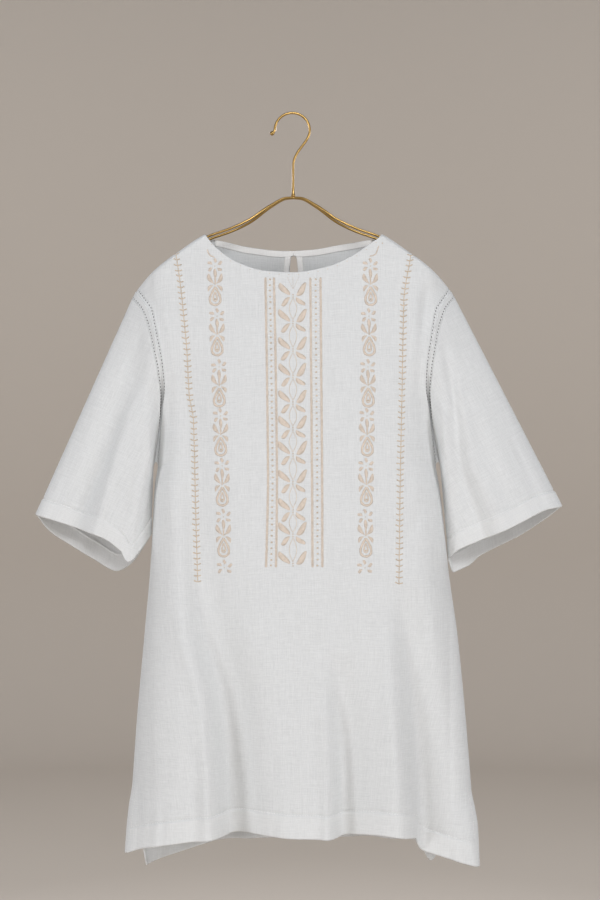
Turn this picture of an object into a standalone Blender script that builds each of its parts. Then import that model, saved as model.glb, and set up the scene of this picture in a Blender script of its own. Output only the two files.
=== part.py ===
# A short-sleeved white blouse on a twin-wire metal hanger.
# Every size is in millimetres until a mesh is made. The origin is the inside top of the hook,
# +Z is up, the front faces -Y and +X is the wearer's left.
import math

import bpy
import numpy as np

MM = 0.001

# Cloth
WALL = 1.2
HEM_WALL = 2.2
SEAM_GAP = 0.3
BAND_GAP = 0.5
SEAM_RIDGE = 1.0
SEAM_TROUGH = 0.8
FACING_WALL = 0.9
FACING_WIDTH = 6.5
FACING_END_X = 95.0

# Where the pieces meet
TIP_X = 186.0
TIP_Z = -209.0
NECK_X = 106.0
SLIT_TOP_Z = -805.0
HEM_Z = -885.0

# Hanger
WIRE_RADIUS = 1.5
WIRE_BELOW_RIDGE = 5.0
WIRE_SPREAD = 15.5
HANGER_BEND_X = 154.0
HANGER_BEND = 13.0
HOOK_RADIUS = 21.0
HOOK_CENTRE_X = -1.5
STEM_TOP_Z = -62.0
STEM_FOOT_Z = -98.7
TUBE_SIDES = 8

# The crest that the cloth makes over the two wires: how far its rounded shoulder reaches down.
CREST_DROP = 10.0
CREST_POWER = 4.0

# How squarely a panel turns towards its sides: its power at the shoulder and lower down, and how
# much softer the turn gets below the armhole.
TURN_POWER_TOP = 21.0
TURN_POWER = 7.0
TURN_SOFTENING = 0.45
TURN_TOP_SHARE = 0.12
ARMHOLE_SHARE = 0.25

# Height of the crest at a distance from the centre line. Inside the neck it is only a guide.
CREST = {"x": [0, 106, 140, 154, 172, 186],
         "z": [-101, -145.5, -168, -178, -193.5, -209]}
# Half depth of the crest, held apart by the wires and closing at the shoulder tip.
CREST_DEPTH = {"x": [0, 106, 145, 162, 174, 186],
               "y": [21.5, 21.5, 21.5, 20.5, 16, 9]}

NECKLINE = {
    "front": {"x": [-106, -105, -104, -92, -66, -33, 0, 40, 66, 92, 104, 105, 106],
              "z": [-145.5, -146.1, -148, -163, -181, -191, -193, -186, -175, -158, -148, -146.1, -145.5]},
    "back": {"x": [-106, -105, -104, -85, -54, -10, 20, 57, 90, 104, 105, 106],
             "z": [-145.5, -145.9, -146.9, -151, -158, -162.3, -161, -155, -149.5, -146.9, -145.9, -145.5]},
}

# How far the panel swells past the crest, by the drop below the crest.
SWELL = {
    "front": {"drop": [0, 60, 150, 300, 450, 760], "y": [0, 5, 13, 21, 24, 28]},
    "back": {"drop": [0, 60, 150, 300, 450, 760], "y": [0, 3, 9, 16, 20, 24]},
}

# Side seams, and below the slit the free side edges.
SIDE_SEAM = {"z": [-425, -447, -504, -531, -547, -626, -727, -805],
             "right": [-163, -166.5, -169.5, -171, -172, -179, -188, -193.5],
             "left": [171, 175, 181.5, 184.5, 186, 197, 207, 213.5]}
SLIT_EDGE = {
    "front": {"fall": [0, 0.5, 1], "right": [-193.5, -199, -201.5], "left": [213.5, 221, 222.5],
              "depth": [0, 5, 12]},
    "back": {"fall": [0, 0.5, 1], "right": [-193.5, -186, -178.5], "left": [213.5, 204, 194],
             "depth": [0, 6, 14]},
}
HEM = {
    "front": {"x": [-202, -176, -120, -50, 43, 98, 135, 149, 167, 222],
              "z": [-883, -873, -863, -857, -860, -855, -859, -868, -881, -899]},
    "back": {"x": [-179, -151, -96, 0, 63, 120, 164, 194],
             "z": [-904, -896, -879, -877, -878, -887, -903, -901]},
}

# Folds of each panel: a soft trough along a path. A negative depth is a ridge.
FOLDS = {
    "front": [
        {"z": [-240, -350, -500, -600, -700, -790, -890], "x": [-139, -133, -125, -114, -90, -82, -77],
         "width": [11, 12, 13, 14, 15, 15, 15], "depth": [0, 2, 2.5, 4, 9, 14, 20]},
        {"z": [-560, -640, -700, -790, -890], "x": [118, 129, 136, 143, 148],
         "width": [14, 15, 16, 16, 15], "depth": [0, 5, 9, 15, 22]},
        {"z": [-640, -745, -890], "x": [44, 52, 55], "width": [16, 15, 14], "depth": [0, 5, 9]},
        {"z": [-225, -262, -300, -350], "x": [-163, -158, -152, -147],
         "width": [6, 7, 7, 7], "depth": [0, 3, 4, 0]},
        {"z": [-200, -240, -300, -350], "x": [155, 153, 150, 146],
         "width": [6, 7, 7, 7], "depth": [0, 4, 4, 0]},
    ],
    "back": [
        {"z": [-420, -560, -700, -890], "x": [-72, -82, -93, -101],
         "width": [15, 16, 17, 17], "depth": [0, 5, 11, 18]},
        {"z": [-380, -560, -700, -890], "x": [64, 80, 96, 112],
         "width": [15, 16, 17, 16], "depth": [0, 4, 9, 17]},
        {"z": [-600, -740, -890], "x": [8, 4, -6], "width": [17, 17, 17], "depth": [0, 5, 10]},
    ],
}

# Armhole loops, from the shoulder tip (part 0) to the underarm (part 1). The body loop carries
# the panels, the sleeve loop carries the sleeve, and the hemstitched band joins them.
ARMHOLE = {
    "right": {"body_top": (-186, -209), "body_foot": (-163, -425),
              "sleeve_top": (-193.5, -221), "sleeve_foot": (-168.3, -427)},
    "left": {"body_top": (186, -209), "body_foot": (171, -425),
             "sleeve_top": (193.5, -220), "sleeve_foot": (176.5, -427)},
}
LOOP_FORM = {
    "body_front": {"part": [0, 0.06, 0.12, 0.25, 0.42, 0.54, 0.66, 0.82, 1],
                   "inward": [0, 9, 16, 19, 22, 21, 15, 8, 0],
                   "depth": [26, 30, 31, 31, 28, 23, 16, 10, 8]},
    "sleeve_front": {"part": [0, 0.08, 0.2, 0.3, 0.42, 0.52, 0.65, 0.8, 1],
                     "inward": [0, 11, 17, 19, 21, 21, 18, 11, 0],
                     "depth": [24, 29, 30, 30, 27, 22, 15, 9, 8]},
    "body_back": {"part": [0, 0.1, 0.3, 0.55, 0.8, 1],
                  "inward": [0, 8, 12, 13, 7, 0], "depth": [24, 28, 28, 25, 15, 8]},
    "sleeve_back": {"part": [0, 0.1, 0.3, 0.55, 0.8, 1],
                    "inward": [0, 6, 11, 12, 7, 0], "depth": [24, 28, 28, 25, 15, 8]},
}

# Sleeves: where the flattened tube ends, and how its hem edge hangs below the straight line
# between those ends. The part runs from the outer fold (0) to the underarm (1).
SLEEVE = {
    "right": {
        "outer_end": (-309, -480), "inner_end": (-170.7, -504),
        "front": {"part": [0, 0.14, 0.37, 0.59, 0.75, 0.81, 0.92, 1],
                  "drop": [0, 2, 7, 12, 24, 36, 18, 0], "depth": [24, 24, 25, 29, 31, 32, 27, 20]},
        "back": {"part": [0, 0.1, 0.32, 0.48, 0.67, 0.8, 1],
                 "drop": [0, 17, 33, 43, 53, 42, 0], "depth": [22, 23, 24, 26, 27, 26, 20]},
        "fold": {"along": [0, 0.25, 0.6, 1], "part": [0.42, 0.46, 0.47, 0.44],
                 "width": [0.1, 0.1, 0.11, 0.12], "depth": [0, 6, 8, 9]},
    },
    "left": {
        "outer_end": (322, -470), "inner_end": (186.2, -531),
        "front": {"part": [0, 0.2, 0.5, 0.9, 1],
                  "drop": [0, -6, -4, -5, 0], "depth": [24, 25, 28, 30, 24]},
        "back": {"part": [0, 0.14, 0.4, 0.7, 0.82, 0.95, 1],
                 "drop": [0, 8, 15, 17, 23, 22, 5], "depth": [22, 23, 25, 26, 27, 27, 22]},
        "fold": {"along": [0, 0.25, 0.6, 1], "part": [0.5, 0.58, 0.6, 0.58],
                 "width": [0.1, 0.1, 0.11, 0.12], "depth": [0, 6, 8, 8]},
    },
}

# Back opening: half width of the keyhole by its drop below the neckline.
KEYHOLE = {"drop": [0, 7, 15, 30, 49], "half": [1.5, 2.2, 3.4, 6, 6.5]}
KEYHOLE_ROWS = 8
FACING_ROWS = 5

# Grid lines. Angles run round half an armhole, from the tip (0) to the underarm (180).
LOOP_ANGLES = [0, 3, 8, 14, 21, 31, 44, 57, 72, 88, 105, 122, 140, 157, 170, 180]
LOWER_ROWS = [-448, -485, -525, -565, -610, -655, -700, -750, SLIT_TOP_Z, -832, -858, HEM_Z]
HALF_COLUMNS = [0, 0.097, 0.194, 0.285, 0.371, 0.441, 0.495, 0.532, 0.558, 0.5655,
                NECK_X / TIP_X, 0.62, 0.69, 0.76, 0.83, 0.89, 0.94, 0.98, 1]
SLEEVE_RINGS = [0, 0.05, 0.12, 0.22, 0.34, 0.47, 0.6, 0.73, 0.85, 0.925, 1]


def smooth(table, key, column, where):
    """Reads a table's column with a monotone cubic through its rows."""
    xs = np.asarray(table[key], float)
    ys = np.asarray(table[column], float)
    if xs[0] > xs[-1]:
        xs, ys = xs[::-1], ys[::-1]
    step = np.diff(xs)
    slope = np.diff(ys) / step
    tangent = np.zeros(len(xs))
    tangent[0], tangent[-1] = slope[0], slope[-1]
    before, after = slope[:-1], slope[1:]
    same = before * after > 0
    tangent[1:-1][same] = 2 * before[same] * after[same] / (before + after)[same]
    at = np.clip(np.asarray(where, float), xs[0], xs[-1])
    cell = np.clip(np.searchsorted(xs, at) - 1, 0, len(xs) - 2)
    t = (at - xs[cell]) / step[cell]
    return (ys[cell] * (1 + 2 * t) * (1 - t) ** 2 + tangent[cell] * step[cell] * t * (1 - t) ** 2
            + ys[cell + 1] * t * t * (3 - 2 * t) + tangent[cell + 1] * step[cell] * t * t * (t - 1))


def unit(vectors):
    """Scales each vector to length 1."""
    return vectors / np.maximum(np.linalg.norm(vectors, axis=-1, keepdims=True), 1e-9)


def grid_normals(grid, closed=False):
    """Normals of a grid of points, from the differences along its two directions."""
    if closed:
        across = np.roll(grid, -1, axis=1) - np.roll(grid, 1, axis=1)
    else:
        across = np.gradient(grid, axis=1)
    return unit(np.cross(unit(across), unit(np.gradient(grid, axis=0))))


# Armhole loops and their wall directions

def loop_parts():
    """Part of the way down the armhole at each angle."""
    return (1 - np.cos(np.radians(LOOP_ANGLES))) / 2


def half_loop(side, edge, face):
    """Half of an armhole loop: a straight chord, bowed towards the body and out in depth."""
    part = loop_parts()
    top = np.array(ARMHOLE[side][edge + "_top"], float)
    foot = np.array(ARMHOLE[side][edge + "_foot"], float)
    form = LOOP_FORM[edge + "_" + face]
    bodyward = 1 if side == "right" else -1
    sign = -1 if face == "front" else 1
    line = top + (foot - top) * part[:, None]
    depth = smooth(form, "part", "depth", part) * np.sin(np.radians(LOOP_ANGLES))
    x = line[:, 0] + bodyward * smooth(form, "part", "inward", part)
    return np.stack([x, sign * depth, line[:, 1]], axis=1)


def half_loop_inward(side, edge, face):
    """Direction from the outer face of the cloth to its inner face along half an armhole loop."""
    part = loop_parts()
    angle = np.radians(LOOP_ANGLES)
    sign = -1 if face == "front" else 1
    toward = 1 if side == "right" else -1
    if edge == "sleeve":
        toward = -toward
    return unit(np.stack([toward * 0.9 * part ** 2, -sign * np.sin(angle), -np.cos(angle)], axis=1))


def ring(front, back):
    """Joins a front half and a back half, both from tip to underarm, into one loop."""
    return np.concatenate([front, back[-2:0:-1]])


def full_loop(side, edge):
    return ring(half_loop(side, edge, "front"), half_loop(side, edge, "back"))


def full_loop_inward(side, edge):
    return ring(half_loop_inward(side, edge, "front"), half_loop_inward(side, edge, "back"))


# Front and back panels

def panel_columns():
    """Column positions from -1 to 1."""
    half = np.array(HALF_COLUMNS)
    return np.concatenate([-half[:0:-1], half])


def side_edge(side, face):
    """A panel's side: half an armhole, the side seam, then the free edge of the slit."""
    arm = half_loop(side, "body", face)
    rows = np.array(LOWER_ROWS, float)
    fall = np.clip((SLIT_TOP_Z - rows) / (SLIT_TOP_Z - HEM_Z), 0, 1)
    edge = SLIT_EDGE[face]
    x = np.where(rows >= SLIT_TOP_Z, smooth(SIDE_SEAM, "z", side, rows), smooth(edge, "fall", side, fall))
    sign = -1 if face == "front" else 1
    y = sign * smooth(edge, "fall", "depth", fall)
    return np.concatenate([arm, np.stack([x, y, rows], axis=1)])


def crest_height(x):
    return smooth(CREST, "x", "z", np.abs(x))


def fold_depth(folds, x, z):
    """Sum of the soft troughs at each point: a bell across the fold, fading along its path."""
    total = np.zeros_like(x)
    for fold in folds:
        centre = smooth(fold, "z", "x", z)
        width = smooth(fold, "z", "width", z)
        depth = smooth(fold, "z", "depth", z)
        total += depth * np.exp(-((x - centre) / width) ** 2)
    return total


def panel_depth(face, x, z):
    """How far a panel stands from the garment's middle plane: rounded crest, swell, then folds."""
    drop = np.maximum(crest_height(x) - z, 0)
    roll = 1 - np.minimum(drop / CREST_DROP, 1)
    crest = smooth(CREST_DEPTH, "x", "y", np.abs(x)) * (1 - roll ** CREST_POWER) ** (1 / CREST_POWER)
    return crest + smooth(SWELL[face], "drop", "y", drop) - fold_depth(FOLDS[face], x, z)


def panel_grid(face):
    """Points of a panel: straight between its sides, bent to neckline and hem, then given depth."""
    sign = -1 if face == "front" else 1
    across = (panel_columns() + 1) / 2
    right = side_edge("right", face)
    left = side_edge("left", face)
    down = (TIP_Z - right[:, 2]) / (TIP_Z - HEM_Z)
    base = right[:, None] * (1 - across)[None, :, None] + left[:, None] * across[None, :, None]
    x, y, z = base[..., 0], base[..., 1], base[..., 2]

    top_x = x[0]
    neck = smooth(NECKLINE[face], "x", "z", np.clip(top_x, -NECK_X, NECK_X))
    top_z = np.where(np.abs(top_x) < NECK_X - 0.01, neck, crest_height(top_x))
    hem_z = smooth(HEM[face], "x", "z", x[-1])
    z = z + (top_z - TIP_Z)[None] * ((1 - down) ** 2)[:, None]
    z = z + (hem_z - HEM_Z)[None] * (down ** 6)[:, None]

    depth = panel_depth(face, x, z)
    below = np.clip((down - ARMHOLE_SHARE) / TURN_TOP_SHARE, 0, 1)[:, None]
    near_top = np.clip(1 - down / TURN_TOP_SHARE, 0, 1)[:, None]
    power = TURN_POWER + (TURN_POWER_TOP - TURN_POWER) * near_top
    wrap = (1 - np.abs(panel_columns()[None]) ** power) ** (1 - TURN_SOFTENING * below)
    y = y * (1 - wrap) + sign * depth * wrap
    grid = np.stack([x, y, z], axis=-1)
    on_seam = np.abs(grid[..., 1]) < 0.01
    grid[..., 1] = np.where(on_seam, sign * SEAM_GAP / 2, grid[..., 1])
    return grid


def panel_inward(face, grid):
    """Wall direction of a panel: its inner normal, and the shared direction along each seam."""
    sign = -1 if face == "front" else 1
    inward = grid_normals(grid)
    facing = np.sum(inward * np.array([0, -sign, 0]), axis=-1)
    middle = facing[len(grid) // 2, grid.shape[1] // 2]
    inward = inward * np.sign(middle)
    x, z = grid[..., 0], grid[..., 2]
    step = 0.1
    slope_x = (panel_depth(face, x + step, z) - panel_depth(face, x - step, z)) / (2 * step)
    slope_z = (panel_depth(face, x, z + step) - panel_depth(face, x, z - step)) / (2 * step)
    by_depth = unit(np.stack([slope_x, np.full(x.shape, -sign, float), slope_z], axis=-1))
    on_crest = (crest_height(x) - z < 1.5 * CREST_DROP) & (np.abs(panel_columns())[None] < 0.93)
    inward = np.where(on_crest[..., None], by_depth, inward)
    arm_rows = len(LOOP_ANGLES)
    inward[:arm_rows, 0] = half_loop_inward("right", "body", face)
    inward[:arm_rows, -1] = half_loop_inward("left", "body", face)
    seam_rows = slice(arm_rows, arm_rows + LOWER_ROWS.index(SLIT_TOP_Z) + 1)
    inward[seam_rows, 0] = [1, 0, 0]
    inward[seam_rows, -1] = [-1, 0, 0]
    shoulder = np.abs(grid[0, :, 0]) > NECK_X - 0.01
    inward[0, shoulder] = [0, 0, -1]
    return inward


def panel_walls(grid):
    """Wall thickness at each point: doubled along the hem and the slit's turned edge."""
    walls = np.full(grid.shape[:2], WALL)
    walls[-2:] = HEM_WALL
    slit_row = len(LOOP_ANGLES) + LOWER_ROWS.index(SLIT_TOP_Z) + 1
    walls[slit_row:, :2] = HEM_WALL
    walls[slit_row:, -2:] = HEM_WALL
    return walls


# Solids

def grid_faces(rows, columns, closed=False, mirror=0):
    """Triangles of a grid, as point numbers, cut along the other diagonal before column mirror."""
    faces = []
    for row in range(rows - 1):
        for column in range(columns if closed else columns - 1):
            beside = (column + 1) % columns
            here, under = row * columns, (row + 1) * columns
            if column < mirror:
                faces.append((here + column, here + beside, under + column))
                faces.append((here + beside, under + beside, under + column))
            else:
                faces.append((here + column, here + beside, under + beside))
                faces.append((here + column, under + beside, under + column))
    return faces


def wall_solid(name, outer, inner, faces, material):
    """Closes a surface and its inner copy into one wall, with a rim along every free edge."""
    count = len(outer)
    points = np.concatenate([outer, inner]) * MM
    edges = {}
    for face in faces:
        for start, end in zip(face, face[1:] + face[:1]):
            edges[(start, end)] = edges.get((start, end), 0) + 1
    rims = [(end, start, start + count, end + count) for start, end in edges if (end, start) not in edges]
    inside = [tuple(index + count for index in reversed(face)) for face in faces]
    return solid(name, points, faces + inside + rims, material)


def solid(name, points, faces, material):
    """Makes a mesh object whose faces point out."""
    mesh = bpy.data.meshes.new(name)
    mesh.from_pydata([tuple(point) for point in points], [], faces)
    volume = 0.0
    for face in faces:
        for second, third in zip(face[1:-1], face[2:]):
            volume += np.dot(points[face[0]], np.cross(points[second], points[third]))
    if volume < 0:
        mesh.flip_normals()
    mesh.materials.append(material)
    mesh.shade_smooth()
    mesh.set_sharp_from_angle(angle=math.radians(50))
    mesh.validate()
    thing = bpy.data.objects.new(name, mesh)
    bpy.context.collection.objects.link(thing)
    return thing


def make_panel(face, material):
    """A front or back panel; the back is split at its middle column for the keyhole."""
    grid = panel_grid(face)
    inward = panel_inward(face, grid)
    walls = panel_walls(grid)
    rows, columns = grid.shape[:2]
    outer = grid.reshape(-1, 3)
    ways = inward.reshape(-1, 3)
    thick = walls.reshape(-1, 1)
    faces = grid_faces(rows, columns, mirror=columns // 2)
    if face == "back":
        middle = columns // 2
        open_rows = np.arange(KEYHOLE_ROWS)
        ids = open_rows * columns + middle
        half = keyhole_half(grid)
        copies = outer[ids].copy()
        outer[ids, 0] -= half
        copies[:, 0] += half
        renumber = {int(old): len(outer) + new for new, old in enumerate(ids)}
        right_of_middle = {(row * columns + middle + 1) for row in range(rows)}
        faces = [tuple(renumber.get(i, i) for i in f) if right_of_middle & set(f) else f for f in faces]
        outer = np.concatenate([outer, copies])
        ways = np.concatenate([ways, ways[ids]])
        thick = np.concatenate([thick, thick[ids]])
    wall_solid(face, outer, outer + ways * thick, faces, material)
    return grid, inward


def keyhole_half(grid):
    """Half width of the keyhole on each row that it splits."""
    middle = grid.shape[1] // 2
    drop = grid[0, middle, 2] - grid[:KEYHOLE_ROWS, middle, 2]
    return smooth(KEYHOLE, "drop", "half", drop)


def make_neck_facings(grid, inward, material):
    """The strip turned inside the back neckline, one piece on each side of the keyhole."""
    middle = grid.shape[1] // 2
    neck = np.flatnonzero(np.abs(grid[0, :, 0]) < FACING_END_X)
    half = keyhole_half(grid)[:FACING_ROWS]
    for side, columns in (("right", neck[neck <= middle]), ("left", neck[neck >= middle])):
        part = grid[:FACING_ROWS, columns].copy()
        ways = inward[:FACING_ROWS, columns]
        if side == "right":
            part[:, -1, 0] -= half
        else:
            part[:, 0, 0] += half
        lay_inside("neck_facing_" + side, part, ways, material)


def make_keyhole_facings(grid, inward, material):
    """The strips turned inside along the keyhole's two edges, below the neck facing."""
    middle = grid.shape[1] // 2
    half = keyhole_half(grid)
    rows = slice(FACING_ROWS - 1, KEYHOLE_ROWS)
    for side, step in (("right", -1), ("left", 1)):
        edge = grid[rows, middle].copy()
        edge[:, 0] += step * half[rows]
        beside = grid[rows, middle + step]
        share = FACING_WIDTH / np.abs(beside[:, 0] - edge[:, 0])
        far = edge + (beside - edge) * share[:, None]
        part = np.stack([edge, far] if step > 0 else [far, edge], axis=1)
        part[0, :, 2] -= SEAM_GAP
        ways = np.stack([inward[rows, middle]] * 2, axis=1)
        lay_inside("keyhole_facing_" + side, part, ways, material)


def lay_inside(name, part, ways, material):
    """A strip made from a panel's own points, moved in past the panel's wall and a seam gap."""
    near = part + ways * (WALL + SEAM_GAP)
    far = part + ways * (WALL + SEAM_GAP + FACING_WALL)
    faces = grid_faces(*part.shape[:2])
    wall_solid(name, near.reshape(-1, 3), far.reshape(-1, 3), faces, material)


def make_band(side, material):
    """The hemstitched band round an armhole: a raised seam above, a shallow trough at the underarm."""
    body, sleeve = full_loop(side, "body"), full_loop(side, "sleeve")
    body_in, sleeve_in = full_loop_inward(side, "body"), full_loop_inward(side, "sleeve")
    across = unit(sleeve - body)
    part = ring(loop_parts(), loop_parts())
    middle_in = unit(body_in + sleeve_in)
    toward_underarm = np.clip((part - 0.4) / 0.3, 0, 1)
    seam_height = SEAM_RIDGE - (SEAM_RIDGE + SEAM_TROUGH) * toward_underarm
    middle = (body + sleeve) / 2 - middle_in * seam_height[:, None]
    rows = np.stack([body + across * BAND_GAP, middle, sleeve - across * BAND_GAP])
    ways = np.stack([body_in, middle_in, sleeve_in])
    faces = grid_faces(3, rows.shape[1], closed=True)
    wall_solid("armhole_band_" + side, rows.reshape(-1, 3), (rows + ways * WALL).reshape(-1, 3),
               faces, material)


def sleeve_half(side, face, along):
    """Half of one sleeve ring, from the outer fold to the underarm.

    The ring's straight line runs from the outer fold to the underarm. Its bow and depth change
    from the armhole's to the hem's, and its edge drops towards the hem.
    """
    form = SLEEVE[side]
    part = loop_parts()
    sine = np.sin(np.radians(LOOP_ANGLES))
    arm = LOOP_FORM["sleeve_" + face]
    sign = -1 if face == "front" else 1
    bodyward = 1 if side == "right" else -1
    outer = np.array(ARMHOLE[side]["sleeve_top"], float)
    outer = outer + (np.array(form["outer_end"]) - outer) * along
    inner = np.array(ARMHOLE[side]["sleeve_foot"], float)
    inner = inner + (np.array(form["inner_end"]) - inner) * along
    line = outer + (inner - outer) * part[:, None]
    bow = smooth(arm, "part", "inward", part) * (1 - along) ** 1.6
    drop = smooth(form[face], "part", "drop", part) * along ** 1.4
    blend = min(along / 0.2, 1)
    blend = blend * blend * (3 - 2 * blend)
    depth = (smooth(arm, "part", "depth", part) * (1 - blend)
             + smooth(form[face], "part", "depth", part) * blend) * sine
    if face == "front":
        fold = form["fold"]
        centre = smooth(fold, "along", "part", along)
        width = smooth(fold, "along", "width", along)
        depth = depth - smooth(fold, "along", "depth", along) * np.exp(-((part - centre) / width) ** 2)
    return np.stack([line[:, 0] + bodyward * bow, sign * depth, line[:, 1] - drop], axis=1)


def make_sleeve(side, material):
    """A sleeve as a tube of rings from the armhole band to the hem, double at the hem."""
    rings = [ring(sleeve_half(side, "front", along), sleeve_half(side, "back", along))
             for along in SLEEVE_RINGS]
    grid = np.stack(rings)
    inward = grid_normals(grid, closed=True)
    centre = grid.mean(axis=1, keepdims=True)
    if np.sum(inward * (centre - grid)) < 0:
        inward = -inward
    inward[0] = full_loop_inward(side, "sleeve")
    walls = np.where(np.array(SLEEVE_RINGS) > 0.9, HEM_WALL, WALL)[:, None, None]
    faces = grid_faces(*grid.shape[:2], closed=True)
    wall_solid("sleeve_" + side, grid.reshape(-1, 3), (grid + inward * walls).reshape(-1, 3),
               faces, material)


# Button and loop at the top of the keyhole

def turned(name, profile, centre, sides, material):
    """A solid turned about the Y axis from (distance along Y, radius) pairs."""
    angles = np.arange(sides) / sides * 2 * math.pi
    points = [(centre[0] + radius * math.cos(a), centre[1] + along, centre[2] + radius * math.sin(a))
              for along, radius in profile for a in angles]
    faces = grid_faces(len(profile), sides, closed=True)
    last = (len(profile) - 1) * sides
    faces += [tuple(range(sides))[::-1], tuple(range(last, last + sides))]
    return solid(name, np.array(points) * MM, faces, material)


def make_button(grid, material):
    """A small domed button on the outside of the back neck, just beside the keyhole."""
    middle = grid.shape[1] // 2
    edge = grid[3, middle]
    y = edge[1] + SEAM_GAP
    profile = [(0.0, 2.2), (0.5, 3.1), (1.3, 3.4), (2.0, 2.6), (2.4, 1.2)]
    turned("button", profile, (edge[0] - 6.5, y, edge[2] - 2.0), 12, material)


# Wire

def tube(name, path, radii, closed, material, sides=TUBE_SIDES):
    """A round bar swept along a path, its section carried without twist."""
    path = np.asarray(path, float)
    ahead = np.roll(path, -1, axis=0) - np.roll(path, 1, axis=0) if closed else np.gradient(path, axis=0)
    ahead = unit(ahead)
    up = np.array([0.0, 1.0, 0.0]) if not closed else np.array([0.0, 0.0, 1.0])
    angles = np.arange(sides) / sides * 2 * math.pi
    rings = []
    for point, way, radius in zip(path, ahead, radii):
        aside = unit(np.cross(way, up)[None])[0]
        other = np.cross(way, aside)
        rings.append(point + radius * (np.cos(angles)[:, None] * aside + np.sin(angles)[:, None] * other))
    faces = grid_faces(len(path), sides, closed=True)
    last = (len(path) - 1) * sides
    if closed:
        faces += [(last + i, last + (i + 1) % sides, (i + 1) % sides, i) for i in range(sides)]
    else:
        faces += [tuple(range(sides))[::-1], tuple(range(last, last + sides))]
    return solid(name, np.concatenate(rings) * MM, faces, material)


def hanger_height(x):
    """Height of the wires: a bow near the hook, then a fixed depth under the cloth's crest."""
    bow = {"x": [0, 8, 28, 52, 75, 98], "z": [-100.5, -101, -111, -128, -139, -147]}
    x = np.abs(x)
    under = crest_height(np.maximum(x, NECK_X)) - WIRE_BELOW_RIDGE
    blend = np.clip((x - 98) / (NECK_X - 98), 0, 1)
    return np.where(x < 98, smooth(bow, "x", "z", x), (1 - blend) * bow["z"][-1] + blend * under)


def make_arms(material):
    """The arms: one closed loop of wire, front run and back run, bent round at both ends."""
    spread = {"x": [0, 20, 45, 70, HANGER_BEND_X], "y": [1.7, 6, 13, WIRE_SPREAD, WIRE_SPREAD]}
    run = np.array([0, 8, 17, 28, 40, 52, 64, 76, 88, 98, 107, 118, 129, 140, 147, HANGER_BEND_X])
    turn = np.radians([30, 60, 90, 120, 150])
    half_x = np.concatenate([run, HANGER_BEND_X + HANGER_BEND * np.sin(turn), run[::-1]])
    half_y = np.concatenate([-smooth(spread, "x", "y", run), -WIRE_SPREAD * np.cos(turn),
                             smooth(spread, "x", "y", run[::-1])])
    x = np.concatenate([half_x, -half_x[::-1][1:-1]])
    y = np.concatenate([half_y, half_y[::-1][1:-1]])
    path = np.stack([x, y, hanger_height(x)], axis=1)
    tube("hanger_arms", path, np.full(len(path), WIRE_RADIUS), True, material)


def make_hook(material):
    """The hook: a foot on the arms, a straight stem, a swan neck and an arc with a ball tip."""
    stem = [(-0.3, z) for z in (STEM_FOOT_Z, STEM_FOOT_Z + 1.2, STEM_FOOT_Z + 3.5, -84, -73)]
    start, end = np.array([-0.3, STEM_TOP_Z]), np.array([HOOK_CENTRE_X + HOOK_RADIUS, -19.5])
    first, second = start + [0, 18], end - [0, 14.5]
    neck = [((1 - t) ** 3 * start + 3 * (1 - t) ** 2 * t * first + 3 * (1 - t) * t * t * second + t ** 3 * end)
            for t in np.linspace(0, 1, 8)]
    arc = [(HOOK_CENTRE_X + HOOK_RADIUS * math.cos(a), WIRE_RADIUS - HOOK_RADIUS + HOOK_RADIUS * math.sin(a))
           for a in np.radians(np.arange(15, 181, 15))]
    tip = [(-24.2, -21.6), (-25.6, -23.0), (-27.0, -24.2), (-27.7, -24.8)]
    flat = [tuple(p) for p in stem] + [tuple(p) for p in neck] + arc + tip
    path = np.array([(x, 0.0, z) for x, z in flat])
    radii = np.full(len(path), WIRE_RADIUS)
    radii[:3] = [3.0, 2.4, WIRE_RADIUS]
    radii[-4:] = [2.2, 2.6, 2.0, 1.0]
    tube("hanger_hook", path, radii, False, material)


def surface(name, colour, roughness, metallic=0.0):
    """A plain material in the piece's own colour."""
    material = bpy.data.materials.new(name)
    material.use_nodes = True
    shader = material.node_tree.nodes["Principled BSDF"]
    shader.inputs["Base Color"].default_value = (*colour, 1)
    shader.inputs["Roughness"].default_value = roughness
    shader.inputs["Metallic"].default_value = metallic
    return material


def main():
    for thing in list(bpy.data.objects):
        bpy.data.objects.remove(thing, do_unlink=True)
    cloth = surface("white cotton", (0.74, 0.73, 0.72), 0.9)
    facing = surface("white facing", (0.78, 0.77, 0.75), 0.9)
    brass = surface("brass wire", (0.72, 0.53, 0.22), 0.3, 1.0)
    pearl = surface("pearl button", (0.83, 0.81, 0.76), 0.25)
    make_panel("front", cloth)
    back, back_inward = make_panel("back", cloth)
    make_neck_facings(back, back_inward, facing)
    make_keyhole_facings(back, back_inward, facing)
    for side in ("right", "left"):
        make_band(side, cloth)
        make_sleeve(side, cloth)
    make_button(back, pearl)
    make_arms(brass)
    make_hook(brass)


main()
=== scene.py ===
import math

import bpy
import numpy as np
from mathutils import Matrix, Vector


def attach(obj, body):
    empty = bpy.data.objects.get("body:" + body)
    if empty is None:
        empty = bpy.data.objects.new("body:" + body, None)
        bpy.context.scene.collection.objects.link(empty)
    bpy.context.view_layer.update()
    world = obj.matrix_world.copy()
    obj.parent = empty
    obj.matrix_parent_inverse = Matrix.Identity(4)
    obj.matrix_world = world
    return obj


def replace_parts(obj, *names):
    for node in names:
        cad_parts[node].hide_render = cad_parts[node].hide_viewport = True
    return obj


# The looks of a white embroidered blouse on a brass wire hanger. Sizes are in millimetres until a
# mesh is made. The origin is the hook's inside top, the front faces -Y, +X is the wearer's left.

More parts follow.
